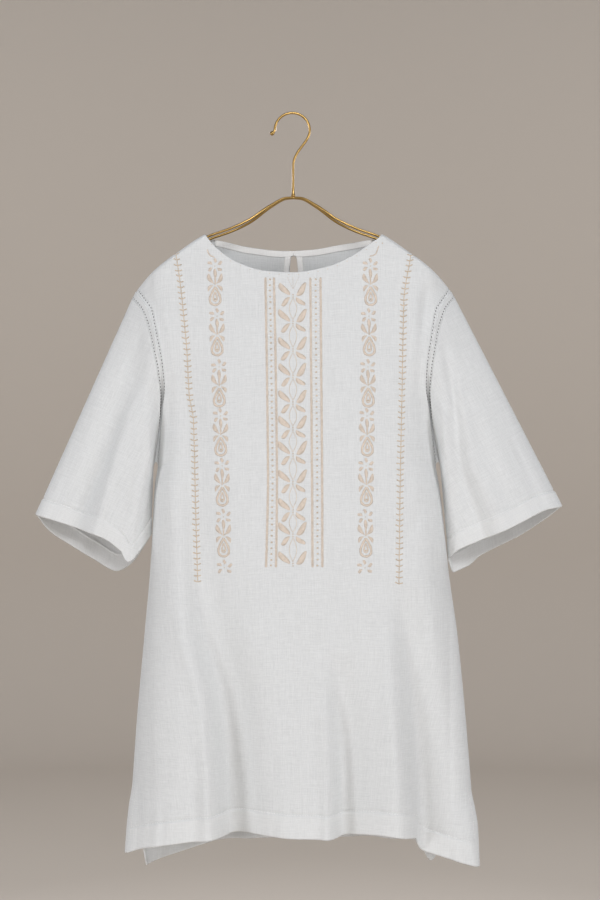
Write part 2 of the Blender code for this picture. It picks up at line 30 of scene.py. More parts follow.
mm = 0.001
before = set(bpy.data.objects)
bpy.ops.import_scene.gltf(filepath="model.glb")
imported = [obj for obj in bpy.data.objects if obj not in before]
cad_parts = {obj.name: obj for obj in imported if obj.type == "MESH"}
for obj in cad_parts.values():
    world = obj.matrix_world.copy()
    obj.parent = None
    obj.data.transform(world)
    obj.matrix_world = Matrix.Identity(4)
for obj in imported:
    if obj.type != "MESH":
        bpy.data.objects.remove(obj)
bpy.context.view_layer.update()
random = np.random.default_rng(7)


# Small tools

def smooth(table, key, column, where):
    # a monotone cubic through the rows of a table
    xs = np.asarray(table[key], float)
    ys = np.asarray(table[column], float)
    if xs[0] > xs[-1]:
        xs, ys = xs[::-1], ys[::-1]
    step = np.diff(xs)
    slope = np.diff(ys) / step
    tangent = np.zeros(len(xs))
    tangent[0], tangent[-1] = slope[0], slope[-1]
    before, after = slope[:-1], slope[1:]
    same = before * after > 0
    tangent[1:-1][same] = 2 * before[same] * after[same] / (before + after)[same]
    at = np.clip(np.asarray(where, float), xs[0], xs[-1])
    cell = np.clip(np.searchsorted(xs, at) - 1, 0, len(xs) - 2)
    t = (at - xs[cell]) / step[cell]
    return (ys[cell] * (1 + 2 * t) * (1 - t) ** 2 + tangent[cell] * step[cell] * t * (1 - t) ** 2
            + ys[cell + 1] * t * t * (3 - 2 * t) + tangent[cell + 1] * step[cell] * t * t * (t - 1))


def unit(vectors):
    # each vector scaled to length 1
    return vectors / np.maximum(np.linalg.norm(vectors, axis=-1, keepdims=True), 1e-9)


def ease(t):
    # 0 to 1 with level ends
    t = np.clip(t, 0, 1)
    return t * t * (3 - 2 * t)


def gridNormals(grid, closed=False):
    # cross product of the differences along a grid's two directions
    if closed:
        across = np.roll(grid, -1, axis=1) - np.roll(grid, 1, axis=1)
    else:
        across = np.gradient(grid, axis=1)
    return unit(np.cross(unit(across), unit(np.gradient(grid, axis=0))))


def gridQuads(rows, columns, closed=False):
    # four point numbers for each cell of a grid
    r, c = np.meshgrid(np.arange(rows - 1), np.arange(columns if closed else columns - 1), indexing="ij")
    beside = (c + 1) % columns
    return np.stack([r * columns + c, r * columns + beside, (r + 1) * columns + beside,
                     (r + 1) * columns + c], axis=-1).reshape(-1, 4)


def clothLengths(grid, axis, middle):
    # weave coordinates: v runs along the axis that the warp hangs by, u is the length across it
    axis = np.array(axis, float) / np.linalg.norm(axis)
    across = np.diff(grid, axis=1)
    across = across - np.sum(across * axis, axis=-1, keepdims=True) * axis
    u = np.concatenate([np.zeros((len(grid), 1)), np.cumsum(np.linalg.norm(across, axis=2), axis=1)], axis=1)
    u = u - u[:, [middle]]
    steps = np.diff(grid, axis=0)
    length = np.linalg.norm(steps, axis=2)
    spare = np.clip(length - np.abs(np.sum(steps * axis, axis=-1)), 0, None)
    spare = np.concatenate([np.cumsum(spare[::-1], axis=0)[::-1], np.zeros((1, grid.shape[1]))])
    return np.stack([u, np.sum(grid * axis, axis=-1) - spare], axis=-1)


def creaseDepth(creases, x, z):
    # each crease is a bell across a slightly bowed stretch, and fades towards both of its ends
    total = np.zeros_like(x)
    for startX, startZ, endX, endZ, width, depth in creases:
        runX, runZ = endX - startX, endZ - startZ
        length = math.hypot(runX, runZ)
        along = ((x - startX) * runX + (z - startZ) * runZ) / length ** 2
        aside = ((x - startX) * runZ - (z - startZ) * runX) / length
        aside = aside + 0.04 * length * np.sin(math.pi * along)
        fade = np.sin(math.pi * np.clip(along, 0, 1))
        total += depth * fade * np.exp(-(aside / width) ** 2)
    return total


def addMesh(name, points, faceSets, material, uv=None, sharp=None, double=None):
    # a mesh from points in millimetres and arrays of faces, each array with its own corner count
    mesh = bpy.data.meshes.new(name)
    loops = np.concatenate([faces.ravel() for faces in faceSets]).astype(np.int32)
    sizes = np.concatenate([np.full(len(faces), faces.shape[1]) for faces in faceSets])
    starts = np.concatenate([[0], np.cumsum(sizes)[:-1]]).astype(np.int32)
    mesh.vertices.add(len(points))
    mesh.vertices.foreach_set("co", (points * mm).astype(np.float32).ravel())
    mesh.loops.add(len(loops))
    mesh.loops.foreach_set("vertex_index", loops)
    mesh.polygons.add(len(starts))
    mesh.polygons.foreach_set("loop_start", starts)
    mesh.update(calc_edges=True)
    mesh.shade_smooth()
    if sharp:
        mesh.set_sharp_from_angle(angle=math.radians(sharp))
    if uv is not None:
        layer = mesh.uv_layers.new(name="weave")
        corner = uv[loops].copy()
        first = np.repeat(corner[starts, 0], sizes)
        turnLength = np.ptp(uv[:, 0])
        corner[:, 0] += turnLength * ((first - corner[:, 0]) > turnLength * 0.6)   # closes a tube's seam
        corner[:, 0] -= turnLength * ((corner[:, 0] - first) > turnLength * 0.6)
        layer.data.foreach_set("uv", (corner * mm).astype(np.float32).ravel())
    if double is not None:
        layer = mesh.attributes.new("double", "FLOAT", "POINT")
        layer.data.foreach_set("value", double.astype(np.float32))
    mesh.materials.append(material)
    thing = bpy.data.objects.new(name, mesh)
    bpy.context.collection.objects.link(thing)
    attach(thing, "root")
    return thing


def outwardSign(points, faces):
    # positive where the faces of a closed surface point out
    a, b, c, d = (points[faces[:, i]] for i in range(4))
    return np.sum(a * np.cross(b, c)) + np.sum(a * np.cross(c, d))


def addWall(name, outer, inner, quads, material, uv, bulge):
    # two skins joined by a rim of three rows, which is rounded by the bulge given at each point
    count = len(outer)
    start = quads.ravel()
    end = np.roll(quads, -1, axis=1).ravel()
    there = start.astype(np.int64) * count + end
    back = end.astype(np.int64) * count + start
    free = ~np.isin(there, back)
    a, b = start[free], end[free]
    edgePoints, renumber = np.unique(np.concatenate([a, b]), return_inverse=True)
    tangent = np.zeros((len(edgePoints), 3))
    way = unit(outer[b] - outer[a])
    np.add.at(tangent, renumber[:len(a)], way)
    np.add.at(tangent, renumber[len(a):], way)
    through = outer[edgePoints] - inner[edgePoints]
    outward = unit(np.cross(unit(tangent), unit(through)))
    middle = (outer[edgePoints] + inner[edgePoints]) / 2
    wide = np.linalg.norm(through, axis=1, keepdims=True)
    # the loop's own cells lie to one side of it, which gives the sign of the bulge
    centre = outer[quads].mean(axis=1)
    cell = np.repeat(np.arange(len(quads)), 4)[free]
    inside = np.zeros((len(edgePoints), 3))
    np.add.at(inside, renumber[:len(a)], centre[cell] - outer[a])
    np.add.at(inside, renumber[len(a):], centre[cell] - outer[b])
    outward = outward * -np.sign(np.sum(outward * inside, axis=1, keepdims=True) + 1e-12)
    middle = middle + outward * wide * 0.5 * bulge[edgePoints][:, None]
    rimA = 2 * count + renumber[:len(a)]
    rimB = 2 * count + renumber[len(a):]
    first = np.stack([b, a, rimA, rimB], axis=1)
    second = np.stack([rimB, rimA, a + count, b + count], axis=1)
    points = np.concatenate([outer, inner, middle])
    faces = np.concatenate([quads, quads[:, ::-1] + count, first, second])
    if outwardSign(points, faces) < 0:
        faces = faces[:, ::-1]
    allUv = np.concatenate([uv, uv, uv[edgePoints]])
    # 1 where the wall is as thick as a hem, and 0 in single cloth
    double = np.clip((np.linalg.norm(outer - inner, axis=1) - outline["wall"])
                     / (outline["hemWall"] - outline["wall"]), 0, 1)
    double = np.concatenate([double, double, double[edgePoints]])
    thing = addMesh(name, points, [faces], material, allUv, double=double)
    a, b, c, d = (outer[quads[:, i]] for i in range(4))
    halves = np.concatenate([np.cross(b - a, c - a), np.cross(c - a, d - a)])
    area = np.linalg.norm(halves, axis=1).sum() / 2 * mm * mm
    print(name, len(faces) * 2, "triangles, area", round(area, 4), "square metres")
    return thing


# Materials

def linear(hexColour):
    # sRGB hex to linear, by the standard curve
    parts = [int(hexColour[i:i + 2], 16) / 255 for i in (1, 3, 5)]
    return [c / 12.92 if c <= 0.04045 else ((c + 0.055) / 1.055) ** 2.4 for c in parts] + [1]


def addNode(tree, kind, inputs=None, **settings):
    # one node with its settings and its inputs, where an input is a value or a socket to link
    node = tree.nodes.new(kind)
    for key, value in settings.items():
        setattr(node, key, value)
    for key, value in (inputs or {}).items():
        if isinstance(value, bpy.types.NodeSocket):
            tree.links.new(value, node.inputs[key])
        else:
            node.inputs[key].default_value = value
    return node


def newMaterial(name, colour, roughness, metallic=0.0, sheen=0.0):
    # a Principled material with its tree and shader, where sheen is the glow of loose fibres
    material = bpy.data.materials.new(name)
    material.use_nodes = True
    shader = material.node_tree.nodes["Principled BSDF"]
    shader.inputs["Base Color"].default_value = linear(colour)
    shader.inputs["Roughness"].default_value = roughness
    shader.inputs["Metallic"].default_value = metallic
    shader.inputs["Sheen Weight"].default_value = sheen
    shader.inputs["Sheen Roughness"].default_value = 0.36
    return material, material.node_tree, shader


def clothMaterial(name, settings):
    # plain weave: thick and thin yarns both ways as long narrow noise, and a fine bump of threads
    # real yarns of this cloth lie about 0.4 mm apart, so they are drawn coarser than that to show
    material, tree, shader = newMaterial(name, settings["colour"], 0.92, sheen=settings["sheen"])
    place = addNode(tree, "ShaderNodeUVMap", uv_map="weave")

    def yarns(longX, longY, detail):
        # noise stretched to the given lengths across and along the warp
        scaled = addNode(tree, "ShaderNodeMapping", {"Vector": place.outputs["UV"],
                         "Scale": (1 / (longX * mm), 1 / (longY * mm), 1)})
        return addNode(tree, "ShaderNodeTexNoise", {"Vector": scaled.outputs["Vector"], "Scale": 1.0,
                       "Detail": detail, "Roughness": 0.6}).outputs["Fac"]

    warp = yarns(settings["yarn"], settings["slub"], 2.0)
    weft = yarns(settings["slub"] * 0.8, settings["yarn"], 2.0)
    fineWarp = yarns(settings["fine"], settings["fine"] * 14, 1.0)
    fineWeft = yarns(settings["fine"] * 14, settings["fine"], 1.0)
    broad = addNode(tree, "ShaderNodeMath", {0: warp, 1: weft}, operation="ADD").outputs[0]
    narrow = addNode(tree, "ShaderNodeMath", {0: fineWarp, 1: fineWeft}, operation="ADD").outputs[0]
    both = addNode(tree, "ShaderNodeMath", {0: broad, 1: narrow}, operation="ADD").outputs[0]
    mean = addNode(tree, "ShaderNodeMath", {0: both, 1: 0.25}, operation="MULTIPLY").outputs[0]
    shade = addNode(tree, "ShaderNodeValToRGB", {"Fac": mean})
    shade.color_ramp.elements[0].position = 0.36
    shade.color_ramp.elements[0].color = linear(settings["dark"])
    shade.color_ramp.elements[1].position = 0.6
    shade.color_ramp.elements[1].color = linear(settings["colour"])
    base = shade.outputs["Color"]
    if "hem" in settings:
        # a hem's double cloth hides what is behind it and looks whiter
        double = addNode(tree, "ShaderNodeAttribute", attribute_name="double").outputs["Fac"]
        share = addNode(tree, "ShaderNodeMath", {0: double, 1: settings["hemShare"]},
                        operation="MULTIPLY").outputs[0]
        base = addNode(tree, "ShaderNodeMix", {0: share, 6: base, 7: linear(settings["hem"])},
                       data_type="RGBA").outputs[2]
    tree.links.new(base, shader.inputs["Base Color"])
    bump = addNode(tree, "ShaderNodeBump", {"Height": both, "Strength": settings["bump"],
                   "Distance": 0.3 * mm})
    tree.links.new(bump.outputs["Normal"], shader.inputs["Normal"])
    return material


# yarn, slub and fine are the widths and the length of the yarns' thick and thin places
cottonLook = {"colour": "#E0E1E0", "dark": "#CFD0CF", "sheen": 0.08, "yarn": 1.3, "slub": 42,
              "fine": 0.62, "bump": 0.35, "hem": "#F0F0ED", "hemShare": 0.16}
facingLook = {"colour": "#F8F7F4", "dark": "#EFEDEA", "sheen": 0.08, "yarn": 1.1, "slub": 30,
              "fine": 0.6, "bump": 0.3}
# bleached cotton, plain woven from uneven yarns: matt, with faint lines both ways
cotton = clothMaterial("slubby cotton", cottonLook)
# bleached cotton of a closer, even weave: flatter and whiter than the blouse round it
facing = clothMaterial("facing cotton", facingLook)


def threadMaterial(name, colour, sheen):
    # twisted cotton thread: its tone comes and goes every 3.846 mm, about the length of a stitch
    material, tree, shader = newMaterial(name, colour, 0.6, sheen=sheen)
    place = addNode(tree, "ShaderNodeTexCoord")
    tone = addNode(tree, "ShaderNodeTexNoise", {"Vector": place.outputs["Object"],
                   "Scale": 1 / (3.846 * mm), "Detail": 2.0})
    shade = addNode(tree, "ShaderNodeValToRGB", {"Fac": tone.outputs["Fac"]})
    base = linear(colour)
    shade.color_ramp.elements[0].position = 0.3
    shade.color_ramp.elements[0].color = [c * 0.86 for c in base[:3]] + [1]
    shade.color_ramp.elements[1].position = 0.65
    shade.color_ramp.elements[1].color = base
    tree.links.new(shade.outputs["Color"], shader.inputs["Base Color"])
    return material


# dyed and mercerised cotton threads: rounder and a little softer in gloss than the matt cloth
tanThread = threadMaterial("tan cotton thread", "#DCCDBD", 0.05)      # borders and leaves
darkThread = threadMaterial("sand cotton thread", "#D8C6AF", 0.1)     # fern sprigs and dots
paleThread = threadMaterial("cream cotton thread", "#E4D9CC", 0.1)    # thin outlined leaves
whiteThread = threadMaterial("white cotton thread", "#F3F1EE", 0.1)   # sewing thread
# painted shade for the unlit inside of the blouse behind a hole: an even warm grey without any gloss
shade = newMaterial("painted shade in a hole", "#5A5653", 1.0)[0]
# drawn steel wire plated with brass: a warm metal with long, slightly blurred highlights
brass = newMaterial("brass plated wire", "#B59358", 0.3, 1.0)[0]
# polyester cast with a pearl effect: a milky body under a clear gloss
pearl, _, pearlShader = newMaterial("pearl button", "#EDE8DF", 0.22)
pearlShader.inputs["Coat Weight"].default_value = 0.4
print("materials ready")


# Form of the blouse, with the sizes of its solids. Tables give a value at each x, z, drop or share.

outline = {"tipX": 186.0, "tipZ": -209.0, "footZ": -425.0, "neckX": 106.0, "slitZ": -805.0, "hemZ": -885.0,
           "wall": 1.2, "hemWall": 2.2, "seamGap": 0.3, "hemBand": 27.0, "slitBand": 6.0}
crest = {"x": [0, 106, 140, 154, 172, 186], "z": [-101, -145.5, -168, -178, -193.5, -209]}
crestDepth = {"x": [0, 106, 145, 162, 174, 186], "y": [21.5, 21.5, 21.5, 20.5, 16, 9]}
crestRoll = {"drop": 10.0, "power": 4.0}
neckline = {
    "front": {"x": [-106, -105, -104, -92, -66, -33, 0, 40, 66, 92, 104, 105, 106],
              "z": [-145.5, -146.1, -148, -163, -181, -191, -193, -186, -175, -158, -148, -146.1, -145.5]},
    "back": {"x": [-106, -105, -104, -85, -54, -10, 20, 57, 90, 104, 105, 106],
             "z": [-145.5, -145.9, -146.9, -151, -158, -162.3, -161, -155, -149.5, -146.9, -145.9, -145.5]}}
swell = {
    "front": {"drop": [0, 60, 150, 300, 450, 760], "y": [0, 5, 13, 21, 24, 28]},
    "back": {"drop": [0, 60, 150, 300, 450, 760], "y": [0, 3, 9, 16, 20, 24]}}
sideSeam = {"z": [-425, -447, -504, -531, -547, -626, -727, -805],
            "right": [-163, -166.5, -169.5, -171, -172, -179, -188, -193.5],
            "left": [171, 175, 181.5, 184.5, 186, 197, 207, 213.5]}
slitEdge = {
    "front": {"fall": [0, 0.5, 1], "right": [-193.5, -199, -201.5], "left": [213.5, 221, 222.5],
              "depth": [0, 5, 12]},
    "back": {"fall": [0, 0.5, 1], "right": [-193.5, -186, -178.5], "left": [213.5, 204, 194],
             "depth": [0, 6, 14]}}
hem = {
    "front": {"x": [-202, -176, -120, -50, 43, 98, 135, 146, 149, 158, 165, 222],
              "z": [-883, -873, -863, -857, -860, -855, -859, -862, -872, -881, -883, -899]},
    "back": {"x": [-179, -151, -96, 0, 63, 120, 150, 158, 164, 168, 175, 194],
             "z": [-904, -896, -879, -877, -876, -875, -877, -888, -899, -903, -895, -894]}}
mainFolds = {
    "front": [
        {"z": [-240, -350, -500, -600, -700, -790, -890], "x": [-139, -133, -125, -114, -90, -82, -77],
         "width": [11, 12, 13, 14, 14, 14, 14], "depth": [0, 6, 9, 16, 24, 32, 37], "lean": 1},
        {"z": [-560, -640, -700, -790, -890], "x": [118, 129, 136, 143, 148],
         "width": [13, 13, 14, 14, 14], "depth": [0, 12, 18, 25, 31], "lean": 1},
        {"z": [-640, -745, -890], "x": [44, 52, 55], "width": [10, 10, 10], "depth": [0, 17, 25], "lean": 1},
        {"z": [-225, -262, -300, -350], "x": [-163, -158, -152, -147],
         "width": [6, 6, 6, 6], "depth": [0, 7, 7, 0], "lean": -1},
        {"z": [-200, -240, -300, -350], "x": [155, 153, 150, 146],
         "width": [6, 6, 6, 6], "depth": [0, 7, 7, 0], "lean": 1}],
    "back": [
        {"z": [-420, -560, -700, -890], "x": [-72, -82, -93, -101],
         "width": [14, 15, 16, 16], "depth": [0, 5, 11, 17], "lean": -1},
        {"z": [-380, -560, -700, -890], "x": [64, 80, 96, 112],
         "width": [14, 15, 16, 15], "depth": [0, 4, 9, 16], "lean": 1},
        {"z": [-600, -740, -890], "x": [8, 4, -6], "width": [15, 15, 15], "depth": [0, 5, 10], "lean": 1}]}
# Finer creases: start x and z, end x and z, width, depth. A negative depth is a ridge.
fineCreases = {
    "front": [
        (195, -800, 206, -960, 9, 3.0), (-146, -560, -150, -960, 15, -2.2), (-52, -600, -60, -960, 17, -2.2),
        (104, -620, 102, -960, 13, -2.0), (172, -620, 178, -960, 11, -2.4), (-4, -580, -8, -900, 14, 1.0),
        (-60, -320, -68, -650, 9, 0.7), (62, -300, 70, -590, 9, 0.6), (-28, -690, -32, -930, 7, 0.8),
        (88, -700, 84, -930, 7, 0.8), (24, -720, 22, -930, 6, 0.7), (-118, -640, -128, -930, 6, 0.9),
        (-174, -700, -182, -950, 6, 1.0), (122, -780, 118, -930, 5, 0.8), (158, -760, 164, -930, 5, -0.9),
        (-172, -245, -158, -352, 5, 1.4), (-150, -235, -150, -330, 5, 0.9), (166, -225, 158, -330, 4.5, 1.4),
        (148, -205, 146, -300, 5, 0.9), (-158, -425, -104, -535, 7, 1.1), (166, -428, 116, -540, 7, 1.1),
        (-164, -440, -140, -640, 8, 1.0), (172, -440, 148, -650, 8, 1.0), (-134, -182, -118, -268, 8, 0.7),
        (134, -182, 120, -262, 8, 0.7), (-104, -170, -70, -240, 7, 0.4), (100, -168, 68, -236, 7, 0.4),
        (-44, -760, -46, -900, 4, 0.6), (8, -790, 10, -900, 4, 0.5), (66, -790, 70, -900, 4, -0.6),
        (-158, -790, -160, -920, 4, 0.6), (-20, -815, -19, -900, 3.5, -0.5), (36, -810, 35, -900, 3.5, -0.5)],
    "back": [
        (-150, -560, -156, -960, 15, -2.2), (-36, -520, -44, -940, 15, -2.0), (52, -560, 46, -940, 14, -1.8),
        (150, -560, 160, -960, 13, -2.4), (-120, -430, -124, -760, 8, 0.8), (118, -330, 128, -640, 8, 0.8),
        (-30, -230, -34, -470, 9, 0.6), (34, -230, 40, -470, 9, 0.6), (-165, -440, -128, -620, 8, 1.1),
        (170, -440, 138, -640, 8, 1.1), (-162, -250, -150, -350, 6, 1.2), (162, -250, 150, -350, 6, 1.2),
        (24, -700, 22, -950, 7, 0.9), (-66, -740, -62, -950, 6, 0.9), (78, -760, 84, -950, 6, -0.8),
        (-130, -760, -138, -950, 6, 1.0), (136, -790, 134, -950, 5, 0.9), (-8, -800, -10, -950, 5, -0.6)]}
armhole = {
    "right": {"bodyTop": (-186, -209), "bodyFoot": (-163, -425),
              "sleeveTop": (-193.5, -221), "sleeveFoot": (-168.3, -427)},
    "left": {"bodyTop": (186, -209), "bodyFoot": (171, -425),
             "sleeveTop": (193.5, -220), "sleeveFoot": (176.5, -427)}}
loopForm = {
    "bodyFront": {"part": [0, 0.06, 0.12, 0.25, 0.42, 0.54, 0.66, 0.82, 1],
                  "inward": [0, 9, 16, 19, 22, 21, 15, 8, 0],
                  "depth": [26, 30, 31, 31, 28, 23, 16, 10, 8]},
    "sleeveFront": {"part": [0, 0.08, 0.2, 0.3, 0.42, 0.52, 0.65, 0.8, 1],
                    "inward": [0, 11, 17, 19, 21, 21, 18, 11, 0],
                    "depth": [24, 29, 30, 30, 27, 22, 15, 9, 8]},
    "bodyBack": {"part": [0, 0.1, 0.3, 0.55, 0.8, 1],
                 "inward": [0, 8, 12, 13, 7, 0], "depth": [24, 28, 28, 25, 15, 8]},
    "sleeveBack": {"part": [0, 0.1, 0.3, 0.55, 0.8, 1],
                   "inward": [0, 6, 11, 12, 7, 0], "depth": [24, 28, 28, 25, 15, 8]}}
turn = {"powerTop": 21.0, "power": 7.0, "softening": 0.45, "topShare": 0.12, "armholeShare": 0.25}


def halfLoop(side, edge, face, part):
    # an armhole's half: a straight chord, bowed towards the body and out in depth as a half ellipse
    top = armhole[side][edge + "Top"]
    foot = armhole[side][edge + "Foot"]
    form = loopForm[edge + face.capitalize()]
    bodyward = 1 if side == "right" else -1
    sign = -1 if face == "front" else 1
    part = np.asarray(part, float)
    sine = 2 * np.sqrt(np.clip(part * (1 - part), 0, None))
    x = top[0] + (foot[0] - top[0]) * part + bodyward * smooth(form, "part", "inward", part)
    y = sign * smooth(form, "part", "depth", part) * sine
    return np.stack([x, y, top[1] + (foot[1] - top[1]) * part], axis=-1)


def halfLoopInward(side, edge, face, part):
    # from the cloth's outer face to its inner face along half an armhole
    part = np.asarray(part, float)
    sine = 2 * np.sqrt(np.clip(part * (1 - part), 0, None))
    sign = -1 if face == "front" else 1
    toward = 1 if side == "right" else -1
    if edge == "sleeve":
        toward = -toward
    return unit(np.stack([toward * 0.9 * part ** 2, -sign * sine, 2 * part - 1], axis=-1))


def crestHeight(x):
    # the shoulders' top line, the same on both sides
    return smooth(crest, "x", "z", np.abs(x))


def valley(t, lean):
    # a bell with a steep flank and a long one, less a low bell beyond each flank, which is a ridge
    t = t * lean - 0.7
    flank = np.where(t < 0, 1.0, 2.3)
    steepRidge = 0.2 * np.exp(-((t + 2.2) / 0.8) ** 2)
    longRidge = 0.1 * np.exp(-((t - 4.6) / 1.4) ** 2)
    return np.exp(-(t / flank) ** 2) - steepRidge - longRidge


def foldDepth(folds, x, z):
    # a leaning bell across each main fold, whose width and depth change along its path
    total = np.zeros_like(x)
    for fold in folds:
        centre = smooth(fold, "z", "x", z)
        width = smooth(fold, "z", "width", z)
        depth = smooth(fold, "z", "depth", z)
        total += depth * valley((x - centre) / width, fold["lean"])
    return total


def panelDepth(face, x, z):
    # distance from the middle plane: rounded crest and swell, less the folds and creases
    drop = np.maximum(crestHeight(x) - z, 0)
    roll = 1 - np.minimum(drop / crestRoll["drop"], 1)
    shoulder = (1 - roll ** crestRoll["power"]) ** (1 / crestRoll["power"])
    depth = smooth(crestDepth, "x", "y", np.abs(x)) * shoulder + smooth(swell[face], "drop", "y", drop)
    fine = creaseDepth(fineCreases[face], x, z) * ease((drop - 6) / 20)
    return depth - foldDepth(mainFolds[face], x, z) - fine


panelCount = {"front": (88, 3.6), "back": (70, 4.4)}   # half columns, row height


def panelColumns(face):
    # columns from -1 to 1, closer towards the sides as a sine, with one at each neck point
    half = np.sin(np.linspace(0, math.pi / 2, panelCount[face][0]))
    neckPoint = outline["neckX"] / outline["tipX"]
    half[np.argmin(np.abs(half - neckPoint))] = neckPoint
    return np.concatenate([-half[:0:-1], half])


def panelRows(face):
    # heights of the side edges, closer at the crest, at the underarm and at the hem
    step, hemStep = panelCount[face][1], 1.4
    tip, foot, slit, low = (outline[k] for k in ("tipZ", "footZ", "slitZ", "hemZ"))
    near = np.array([0, 0.08, 0.25, 0.55, 1, 1.6, 2.4, 3.4, 4.6, 6, 7.6, 9.4, 11.6])
    upper = np.arange(14, tip - foot - 12, step)
    end = (tip - foot) - near[::-1][:-1]
    arm = tip - np.unique(np.concatenate([near, upper, end, [tip - foot]]))
    below = foot - np.concatenate([near[1:10], np.arange(9, foot - slit - 1, step)])
    last = np.linspace(slit, low, int((slit - low) / hemStep))
    return np.unique(np.concatenate([arm, below, last]))[::-1]


def sideEdge(side, face, rows):
    # half an armhole, the side seam, then the free edge of the slit
    part = np.clip((outline["tipZ"] - rows) / (outline["tipZ"] - outline["footZ"]), 0, 1)
    arm = halfLoop(side, "body", face, part)
    fall = np.clip((outline["slitZ"] - rows) / (outline["slitZ"] - outline["hemZ"]), 0, 1)
    edge = slitEdge[face]
    seamX = np.where(rows >= outline["slitZ"], smooth(sideSeam, "z", side, rows),
                     smooth(edge, "fall", side, fall))
    sign = -1 if face == "front" else 1
    onArm = rows >= outline["footZ"]
    x = np.where(onArm, arm[:, 0], seamX)
    y = np.where(onArm, arm[:, 1], sign * smooth(edge, "fall", "depth", fall))
    return np.stack([x, y, rows], axis=1)


keyhole = {"drop": [0, 4.7, 6.0, 7.6, 15, 27, 45, 54, 59, 61],
           "half": [0.12, 0.15, 3.2, 3.8, 4.7, 5.8, 6.4, 5.4, 3, 0], "reach": 34.0, "depth": 61.0}
hemLine = {"pull": 0.95, "uneven": 0.35, "fine": 0.2, "pucker": 0.32, "step": 1.0}


def panelGrid(face):
    # straight between the side edges, bent to neckline and hem, then given its depth
    sign = -1 if face == "front" else 1
    columns = panelColumns(face)
    across = (columns + 1) / 2
    rows = panelRows(face)
    right, left = sideEdge("right", face, rows), sideEdge("left", face, rows)
    down = (outline["tipZ"] - rows) / (outline["tipZ"] - outline["hemZ"])
    base = right[:, None] * (1 - across)[None, :, None] + left[:, None] * across[None, :, None]
    x, y, z = base[..., 0], base[..., 1], base[..., 2]
    topX = x[0]
    neck = smooth(neckline[face], "x", "z", np.clip(topX, -outline["neckX"], outline["neckX"]))
    topZ = np.where(np.abs(topX) < outline["neckX"] - 0.01, neck, crestHeight(topX))
    hemZ = smooth(hem[face], "x", "z", x[-1])
    z = z + (topZ - outline["tipZ"])[None] * ((1 - down) ** 2)[:, None]
    z = z + (hemZ - outline["hemZ"])[None] * (down ** 6)[:, None]
    depth = panelDepth(face, x, z)
    # the line of stitches draws the hem in, unevenly
    rise = z - hemZ[None] - outline["hemBand"]
    uneven = hemLine["uneven"] * np.sin(x / 5.2 + 2 * np.sin(x / 31.0))
    pull = hemLine["pull"] + uneven + hemLine["fine"] * np.sin(x / 2.6)
    pucker = hemLine["pucker"] * np.sin(x / 2.9 + 1.7 * np.sin(x / 13.0)) * np.exp(-(rise / 9) ** 2)
    step = hemLine["step"] * ease((0.2 - rise) / 1.6)
    depth = depth - pull * np.exp(-((rise - 0.6) / 1.5) ** 2) + step + pucker
    below = np.clip((down - turn["armholeShare"]) / turn["topShare"], 0, 1)[:, None]
    nearTop = np.clip(1 - down / turn["topShare"], 0, 1)[:, None]
    power = turn["power"] + (turn["powerTop"] - turn["power"]) * nearTop
    wrap = (1 - np.abs(columns[None]) ** power) ** (1 - turn["softening"] * below)
    y = y * (1 - wrap) + sign * depth * wrap
    y = np.where(np.abs(y) < 0.01, sign * outline["seamGap"] / 2, y)
    return np.stack([x, y, z], axis=-1)


def panelInward(face, grid):
    # inner normals, by the depth formula near the crest, with the shared ways along the seams
    sign = -1 if face == "front" else 1
    inward = gridNormals(grid)
    middle = -sign * inward[len(grid) // 2, grid.shape[1] // 2, 1]
    inward = inward * np.sign(middle)
    x, z = grid[..., 0], grid[..., 2]
    step = 0.1
    slopeX = (panelDepth(face, x + step, z) - panelDepth(face, x - step, z)) / (2 * step)
    slopeZ = (panelDepth(face, x, z + step) - panelDepth(face, x, z - step)) / (2 * step)
    byDepth = unit(np.stack([slopeX, np.full(x.shape, -sign, float), slopeZ], axis=-1))
    columns = panelColumns(face)
    onCrest = ease((1.7 * crestRoll["drop"] - (crestHeight(x) - z)) / 6)
    onCrest = onCrest * ease((0.95 - np.abs(columns)[None]) / 0.03)
    inward = unit(inward * (1 - onCrest[..., None]) + byDepth * onCrest[..., None])
    rows = panelRows(face)
    arm = rows >= outline["footZ"]
    part = (outline["tipZ"] - rows[arm]) / (outline["tipZ"] - outline["footZ"])
    inward[arm, 0] = halfLoopInward("right", "body", face, part)
    inward[arm, -1] = halfLoopInward("left", "body", face, part)
    seam = (rows < outline["footZ"]) & (rows >= outline["slitZ"])
    inward[seam, 0] = [1, 0, 0]
    inward[seam, -1] = [-1, 0, 0]
    inward[0, np.abs(grid[0, :, 0]) > outline["neckX"] - 0.01] = [0, 0, -1]
    return inward


def panelWalls(face, grid):
    # double cloth in the hem and along the slits
    hemZ = smooth(hem[face], "x", "z", grid[-1, :, 0])
    rise = grid[..., 2] - hemZ[None]
    inHem = ease((outline["hemBand"] + 1 - rise) / 2)
    fromSide = np.minimum(grid[..., 0] - grid[:, :1, 0], grid[:, -1:, 0] - grid[..., 0])
    inSlit = ease((outline["slitBand"] - fromSide) / 2) * (panelRows(face) < outline["slitZ"])[:, None]
    return outline["wall"] + (outline["hemWall"] - outline["wall"]) * np.maximum(inHem, inSlit)


def panelBulge(face, grid):
    # rims are rounded on free edges and flat on seams
    rows = panelRows(face)
    bulge = np.zeros(grid.shape[:2])
    bulge[0] = np.abs(grid[0, :, 0]) < outline["neckX"] - 1
    bulge[-1] = 1
    bulge[rows < outline["slitZ"], 0] = 1
    bulge[rows < outline["slitZ"], -1] = 1
    return bulge


